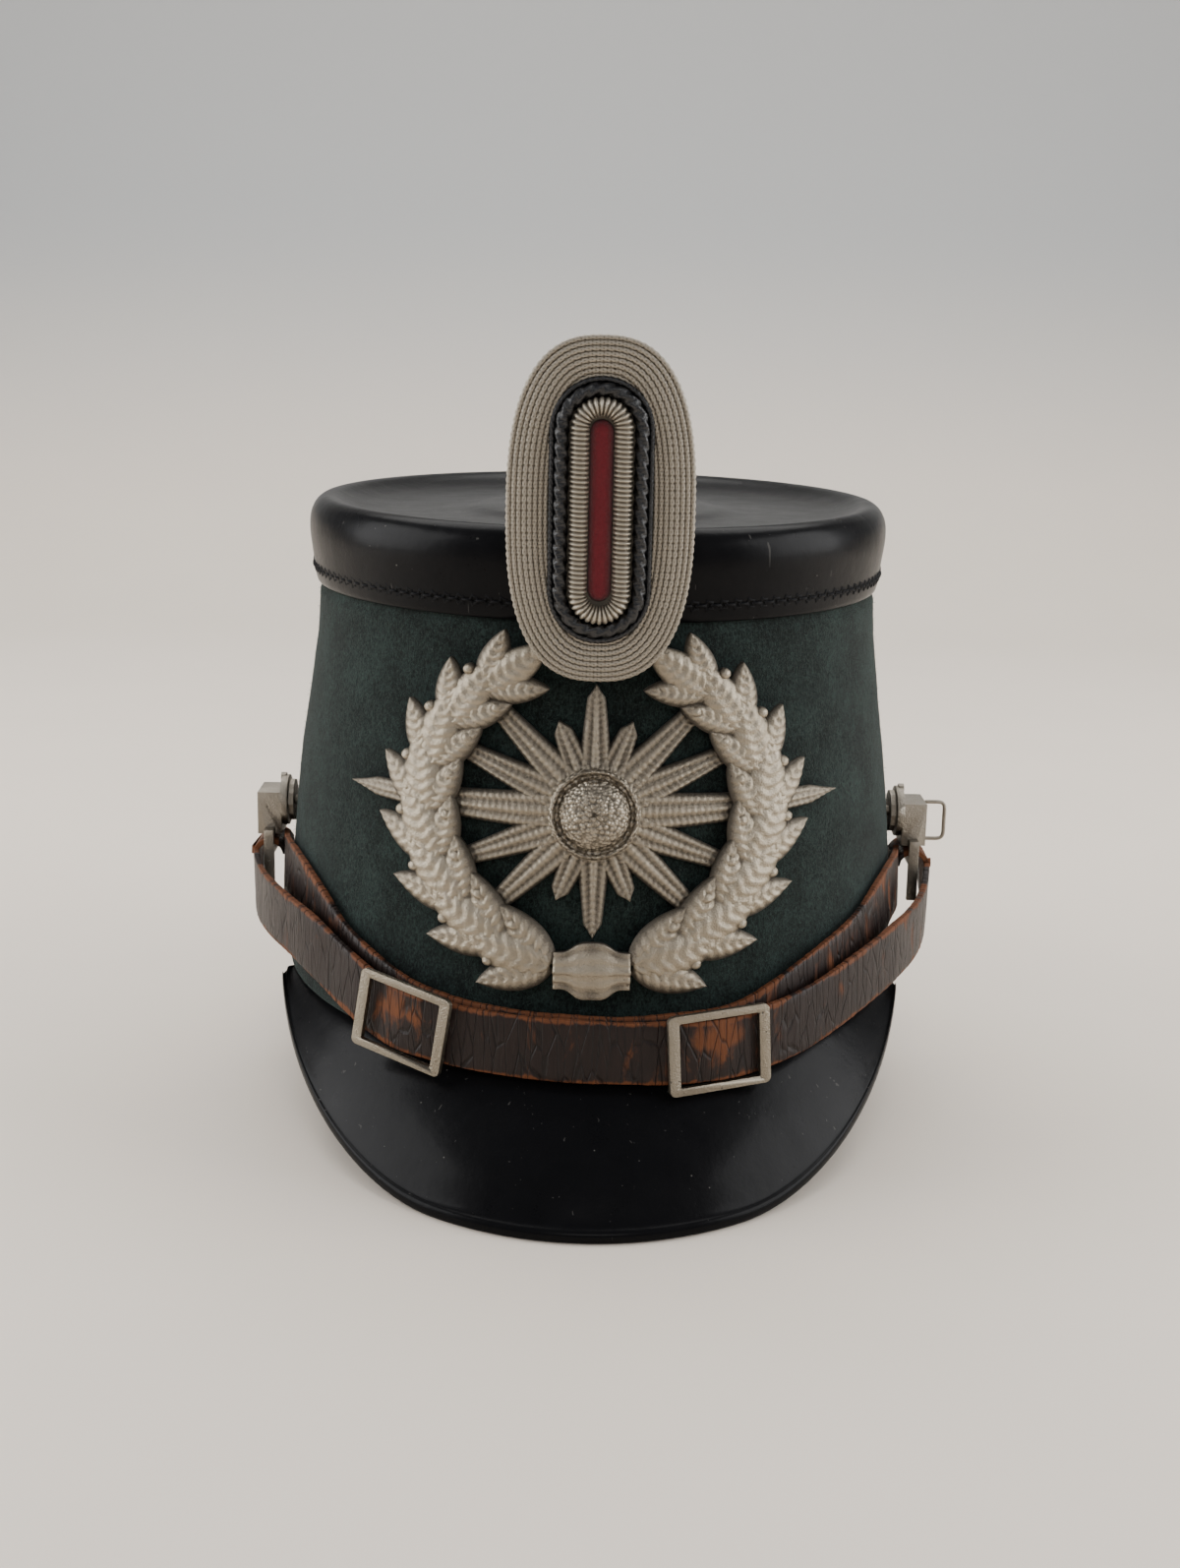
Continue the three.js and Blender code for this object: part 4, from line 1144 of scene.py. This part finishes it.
class MakeCockade(bpy.types.Operator):
    """The oval cockade of twisted cords round a red middle"""

    bl_idname = "shako.cockade"
    bl_label = "Cockade"

    def execute(self, context):
        sizes = context.scene.shako_cockade
        self.centre = middle("cockade_base")
        self.back = BOXES["cockade_base"][1].y
        self.pads(sizes)
        self.pale_cords(sizes)
        self.black_cords()
        self.silver_ring(sizes)
        self.middle_pad()
        return {"FINISHED"}

    def route(self, flat, off):
        """A flat line's points, so far in front of the cockade's back."""
        return [Vector((self.centre.x + x, self.back - off, self.centre.z + z)) for x, z in flat]

    def pads(self, sizes):
        """The stiff backing under the cords, painted mostly in their shade colour."""
        size = half_size("cockade_base")
        points, around = [], 120
        for share, off in BACKING:
            inset = size.x * (1 - share) + 0.4 * MM
            flat = even_oval(size.x - inset, size.z - inset, sizes.square, around)
            points += self.route(flat, off * MM)
        faces = outward_faces(points, capped_faces(len(BACKING), around))
        # painted shade: the backing, seen only between the cords, takes mostly the dark shade
        # colour
        values = {"hollow": [0.8] * len(points)}
        piece("cockade_backing", points, faces, "Pale braid", ["cockade_base"], values)

    def pale_cords(self, sizes):
        """Pale twisted cords side by side over the domed band."""
        size = half_size("cockade_base")
        band = size.x - half_size("cockade_black_ring").x
        parts = []
        for i in range(sizes.cords):
            share = (i + 0.5) / sizes.cords
            inset = band * share
            dome = math.sin(math.pi * (0.16 + 0.68 * share)) ** 0.7
            off = (1.4 + 2.6 * dome) * MM
            flat = even_oval(size.x - inset, size.z - inset, sizes.square, 900)
            route = self.route(flat, off)
            parts.append(cord(route, sizes.cord, 2, 3.6 * MM, 0.44))
        points, faces, hollow = gather(parts)
        piece("cockade_cords", points, faces, "Pale braid", (), {"hollow": hollow})

    def black_cords(self):
        """A thin black cord and a thick one inside it."""
        outer = half_size("cockade_black_ring")
        band = outer.x - half_size("cockade_silver_ring").x
        parts = []
        for share, radius, off, pitch in BLACK_CORDS:
            inset = band * share
            flat = even_stadium(outer.x - inset, outer.z - inset, 620)
            route = self.route(flat, off * MM)
            parts.append(cord(route, radius * MM, 2, pitch * MM, 0.42, 14))
        points, faces, hollow = gather(parts)
        names, values = ["cockade_black_ring"], {"hollow": hollow}
        piece("cockade_black_cords", points, faces, "Black cord", names, values)

    def silver_ring(self, sizes):
        """A raised ring wound round with stiff silver thread."""
        outer = half_size("cockade_silver_ring")
        band = (outer.x - half_size("cockade_centre").x) / 2
        count = 1100
        line = self.route(even_stadium(outer.x - band, outer.z - band, count), 4.9 * MM)
        step = (line[1] - line[0]).length
        turns = round(step * count / sizes.thread)
        points, hollow, around = [], [], 16
        for i, here in enumerate(line):
            ahead = (line[(i + 1) % count] - line[i - 1]).normalized()
            side = ahead.cross(FRONT).normalized()
            for j in range(around):
                angle = TURN * j / around
                wave = math.cos(TURN * turns * i / count + 0.6 * math.cos(angle))
                reach = 1 + 0.11 * wave
                across = side * math.cos(angle) * band * 0.84
                points.append(here + (across + FRONT * math.sin(angle) * 2.3 * MM) * reach)
                # painted shade in the grooves between the turns of thread
                hollow.append(0.5 - 0.5 * wave)
        faces = outward_faces(points, ring_faces(count, around))
        names, values = ["cockade_silver_ring"], {"hollow": hollow}
        piece("cockade_silver", points, faces, "Silver thread", names, values)

    def middle_pad(self):
        """The padded red cloth, domed towards its middle line."""
        size = half_size("cockade_centre")
        straight = size.z - size.x
        points, around, steps = [], 96, 12
        for i in range(steps + 1):
            share = 1 - i / steps * 0.995
            for x, z in even_stadium(size.x + 0.2 * MM, size.z, around):
                spine = max(-straight, min(straight, z))
                x, z = x * share, spine + (z - spine) * share
                rough = noise.noise(Vector((x, 0, z)) / (1.1 * MM)) * 0.12
                off = (2.6 + 2.5 * (1 - share**3) + rough) * MM
                points.append(Vector((self.centre.x + x, self.back - off, self.centre.z + z)))
        faces = outward_faces(points, capped_faces(steps + 1, around))
        piece("cockade_wool", points, faces, "Red wool", ["cockade_centre"])


# ------------------------------------------------------------------ strap and metal
SIDES = ("left", "right")
LAYER_SPLIT = 4.7 * MM  # the strap's outer layer stands further off the shell than this
BIN = math.radians(5)
ARC = 105  # millimetres along the strap for each radian of bearing
PATCH = 9 * MM  # how far the wear round a buckle reaches
WEAR_HIGH, WEAR_LOW, WEAR_HIDDEN = 0.9, 0.35, 0.15


class MakeStrap(bpy.types.Operator):
    """The cracked leather chin strap"""

    bl_idname = "shako.strap"
    bl_label = "Chin strap"

    def execute(self, context):
        lines = self.edge_lines()
        strap = refined("strap_leather", "chin_strap", "Cracked leather", 3, 0.9)
        buckles = [middle("buckle_" + side) for side in SIDES]
        along, across, wear = [], [], []
        for vertex in strap.data.vertices:
            place = vertex.co
            bearing = bearing_of(place)
            outer = off_shell(place) > LAYER_SPLIT
            low, high = self.look_up(lines[outer], bearing)
            share = 2 * (place.z - low) / (high - low) - 1
            along.append(bearing * ARC)
            across.append(max(-1.15, min(1.15, share)))
            near = min((place - centre).length for centre in buckles)
            patch = math.exp(-((near / PATCH) ** 2)) * (WEAR_HIGH if share > 0.1 else WEAR_LOW)
            wear.append(patch if outer else WEAR_HIDDEN)
        self.wrinkle(strap.data, along, across)
        for title, numbers in (("along", along), ("across", across), ("wear", wear)):
            layer = strap.data.attributes.new(title, "FLOAT", "POINT")
            layer.data.foreach_set("value", numbers)
        return {"FINISHED"}

    def edge_lines(self):
        """Lowest and highest edge of each layer of the strap, by bearing."""
        bins = {True: {}, False: {}}
        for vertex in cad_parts["chin_strap"].data.vertices:
            outer = off_shell(vertex.co) > LAYER_SPLIT
            key = round(bearing_of(vertex.co) / BIN)
            bins[outer].setdefault(key, []).append(vertex.co.z)
        return {
            layer: {key: (min(heights), max(heights)) for key, heights in table.items()}
            for layer, table in bins.items()
        }

    def look_up(self, line, bearing):
        """The edges at a bearing, blended from the two nearest."""
        place = bearing / BIN
        first = math.floor(place)
        keys = [min(line, key=lambda have: abs(have - want)) for want in (first, first + 1)]
        share = place - first
        (low0, high0), (low1, high1) = line[keys[0]], line[keys[1]]
        return low0 + (low1 - low0) * share, high0 + (high1 - high0) * share

    def wrinkle(self, mesh, along, across):
        """Fine creases across the strap, with broad waves, pushed out along its normals."""
        moved = []
        for vertex, far, share in zip(mesh.vertices, along, across):
            crease = noise.noise(Vector((far / 2.1, share * 1.1, 3)))
            wave = noise.noise(Vector((far / 14, share * 0.5, 9)))
            depth = (crease * 0.16 + wave * 0.3) * MM
            moved.append(vertex.co + vertex.normal * depth)
        for vertex, co in zip(mesh.vertices, moved):
            vertex.co = co


class MakeMetal(bpy.types.Operator):
    """Buckles, studs, hooks, the wire loop and the posts"""

    bl_idname = "shako.metal"
    bl_label = "Metal fittings"

    def execute(self, context):
        for side in SIDES:
            buckle = "buckle_" + side
            bevelled(buckle + "_frame", buckle, "Buckle metal", 0.35 * MM)
            stud = "stud_" + side
            bevelled(stud + "_disc", stud, "Buckle metal", 0.1 * MM)
            hook = "strap_hook_" + side
            bevelled(hook + "_steel", hook, "Dull steel", 0.3 * MM)
        refined("wire_loop_steel", "wire_loop_right", "Dull steel", 1)
        for name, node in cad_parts.items():
            if "_post" in name:
                node.data.materials.clear()
                node.data.materials.append(bpy.data.materials["Dull steel"])
        return {"FINISHED"}


# ------------------------------------------------------------------ materials and stage
class MakeFinishes(bpy.types.Operator):
    """All the materials"""

    bl_idname = "shako.finishes"
    bl_label = "Finishes"

    def execute(self, context):
        colours = context.scene.shako_colours
        metal = tuple(colours.metal)
        fibre_paint(colours)
        felt_paint(colours)
        wool_paint(colours)
        leather_paint(colours)
        metal_paint("Plate metal", metal, 0.26, 0.44, 0.35)
        granular_paint("Pebbled metal", tuple(c * 0.9 for c in metal))
        metal_paint("Buckle metal", (0.31, 0.275, 0.22), 0.3, 0.46, 0.9, UNSHADED_RELIEF)
        metal_paint("Dull steel", (0.33, 0.3, 0.255), 0.3, 0.5, 0.8, UNSHADED_RELIEF)
        # the second colour of each cord finish is painted shade for its hollows
        cord_paint("Pale braid", tuple(colours.braid), (0.1, 0.085, 0.062), 0.4, 0.36)
        cord_paint("Silver thread", (0.5, 0.45, 0.36), (0.12, 0.1, 0.075), 0.7, 0.3)
        cord_paint("Black cord", (0.007, 0.007, 0.008), (0.001, 0.001, 0.001), 0.0, 0.12, 0.6)
        cord_paint("Punched hole", (0.007, 0.007, 0.008), (0.0005, 0.0005, 0.0005), 0.0, 0.5, 0.1)
        loose_fibre_paint()
        floor_paint()
        return {"FINISHED"}


# Each light's name, place, width and height, watts and colour.
LIGHTS = (
    ("top light", (0.0, 0.5, 1.15), (1.5, 0.8), 17, (1, 0.985, 0.96)),
    ("left light", (-1.0, -0.05, 0.45), (0.8, 0.8), 11, (1, 1, 1)),
    ("right light", (1.0, -0.05, 0.45), (0.8, 0.8), 11, (1, 1, 1)),
    ("front light", (0.1, -1.6, 1.25), (0.9, 0.4), 6, (1, 0.97, 0.93)),
)


class MakeStage(bpy.types.Operator):
    """Camera, pale sweep and soft lights"""

    bl_idname = "shako.stage"
    bl_label = "Stage"

    def execute(self, context):
        self.camera(context)
        self.sweep(context)
        self.lights(context)
        return {"FINISHED"}

    def camera(self, context):
        """A camera in front of the hat, tilted down a little."""
        sizes = context.scene.shako_stage
        data = bpy.data.cameras.new("camera")
        data.sensor_width = 36
        data.lens = sizes.lens
        data.clip_start, data.clip_end = 0.01, 20
        camera = bpy.data.objects.new("camera", data)
        turn = Matrix.Rotation(-sizes.yaw, 3, "Z")
        right = turn @ Vector((1, 0, 0))
        ahead = turn @ Vector((0, math.cos(sizes.pitch), -math.sin(sizes.pitch)))
        above = right.cross(ahead)
        across = right * math.cos(sizes.roll) + above * math.sin(sizes.roll)
        rise = above * math.cos(sizes.roll) - right * math.sin(sizes.roll)
        axes = Matrix((across, rise, -ahead)).transposed().to_4x4()
        place = Vector((-sizes.aside, -sizes.away, sizes.height))
        camera.matrix_world = Matrix.Translation(place) @ axes
        context.scene.collection.objects.link(camera)
        context.scene.camera = camera

    def sweep(self, context):
        """A floor that curves up into a backdrop."""
        front, back, bend, tall, half = -1.6, 0.75, 0.5, 2.2, 2.6
        steps = 12
        profile = [(front, 0.0), (back, 0.0)]
        for i in range(1, steps + 1):
            angle = math.pi / 2 * i / steps
            profile.append((back + bend * math.sin(angle), bend * (1 - math.cos(angle))))
        profile.append((back + bend, tall))
        points, faces = [], []
        for x in (-half, half):
            points += [Vector((x, y, z)) for y, z in profile]
        count = len(profile)
        for i in range(count - 1):
            faces.append((i, count + i, count + i + 1, i + 1))
        mesh = bpy.data.meshes.new("floor")
        mesh.from_pydata([tuple(p) for p in points], [], faces)
        finished(mesh, "Pale floor")
        floor = bpy.data.objects.new("floor", mesh)
        context.scene.collection.objects.link(floor)

    def lights(self, context):
        """Four soft panels that face the hat, and an even sky."""
        world = bpy.data.worlds.new("soft light")
        world.use_nodes = True
        background = world.node_tree.nodes["Background"]
        background.inputs["Color"].default_value = (0.86, 0.9, 1.0, 1)
        background.inputs["Strength"].default_value = 0.3
        context.scene.world = world
        target = Vector((0, 0, 0.09))
        for name, place, size, power, tone in LIGHTS:
            data = bpy.data.lights.new(name, "AREA")
            data.shape = "RECTANGLE"
            data.size, data.size_y = size
            data.energy = power
            data.color = tone
            light = bpy.data.objects.new(name, data)
            light.location = place
            light.rotation_euler = (target - Vector(place)).to_track_quat("-Z", "Y").to_euler()
            context.scene.collection.objects.link(light)


OPERATORS = (
    MakeFinishes,
    MakeCrown,
    MakeFelt,
    MakePeaks,
    MakePlate,
    MakeCockade,
    MakeStrap,
    MakeMetal,
    MakeStage,
)
GROUPS = {
    "shako_colours": ShakoColours,
    "shako_crown": ShakoCrown,
    "shako_felt": ShakoFelt,
    "shako_plate": ShakoPlate,
    "shako_cockade": ShakoCockade,
    "shako_stage": ShakoStage,
}


class ShakoPanel(bpy.types.Panel):
    """Lists the settings and the pieces"""

    bl_idname = "VIEW3D_PT_shako"
    bl_label = "Shako"
    bl_space_type = "VIEW_3D"
    bl_region_type = "UI"
    bl_category = "Shako"

    def draw(self, context):
        for key, group in GROUPS.items():
            column = self.layout.box().column()
            for name in group.__annotations__:
                column.prop(getattr(context.scene, key), name)
        for operator in OPERATORS:
            self.layout.operator(operator.bl_idname)


def register():
    for item in (*GROUPS.values(), *OPERATORS, ShakoPanel):
        bpy.utils.register_class(item)
    for key, group in GROUPS.items():
        setattr(bpy.types.Scene, key, bpy.props.PointerProperty(type=group))


def unregister():
    for key in GROUPS:
        delattr(bpy.types.Scene, key)
    for item in reversed((*GROUPS.values(), *OPERATORS, ShakoPanel)):
        bpy.utils.unregister_class(item)


def main():
    register()
    for operator in OPERATORS:
        family, name = operator.bl_idname.split(".")
        getattr(getattr(bpy.ops, family), name)()


if __name__ == "__main__":
    main()
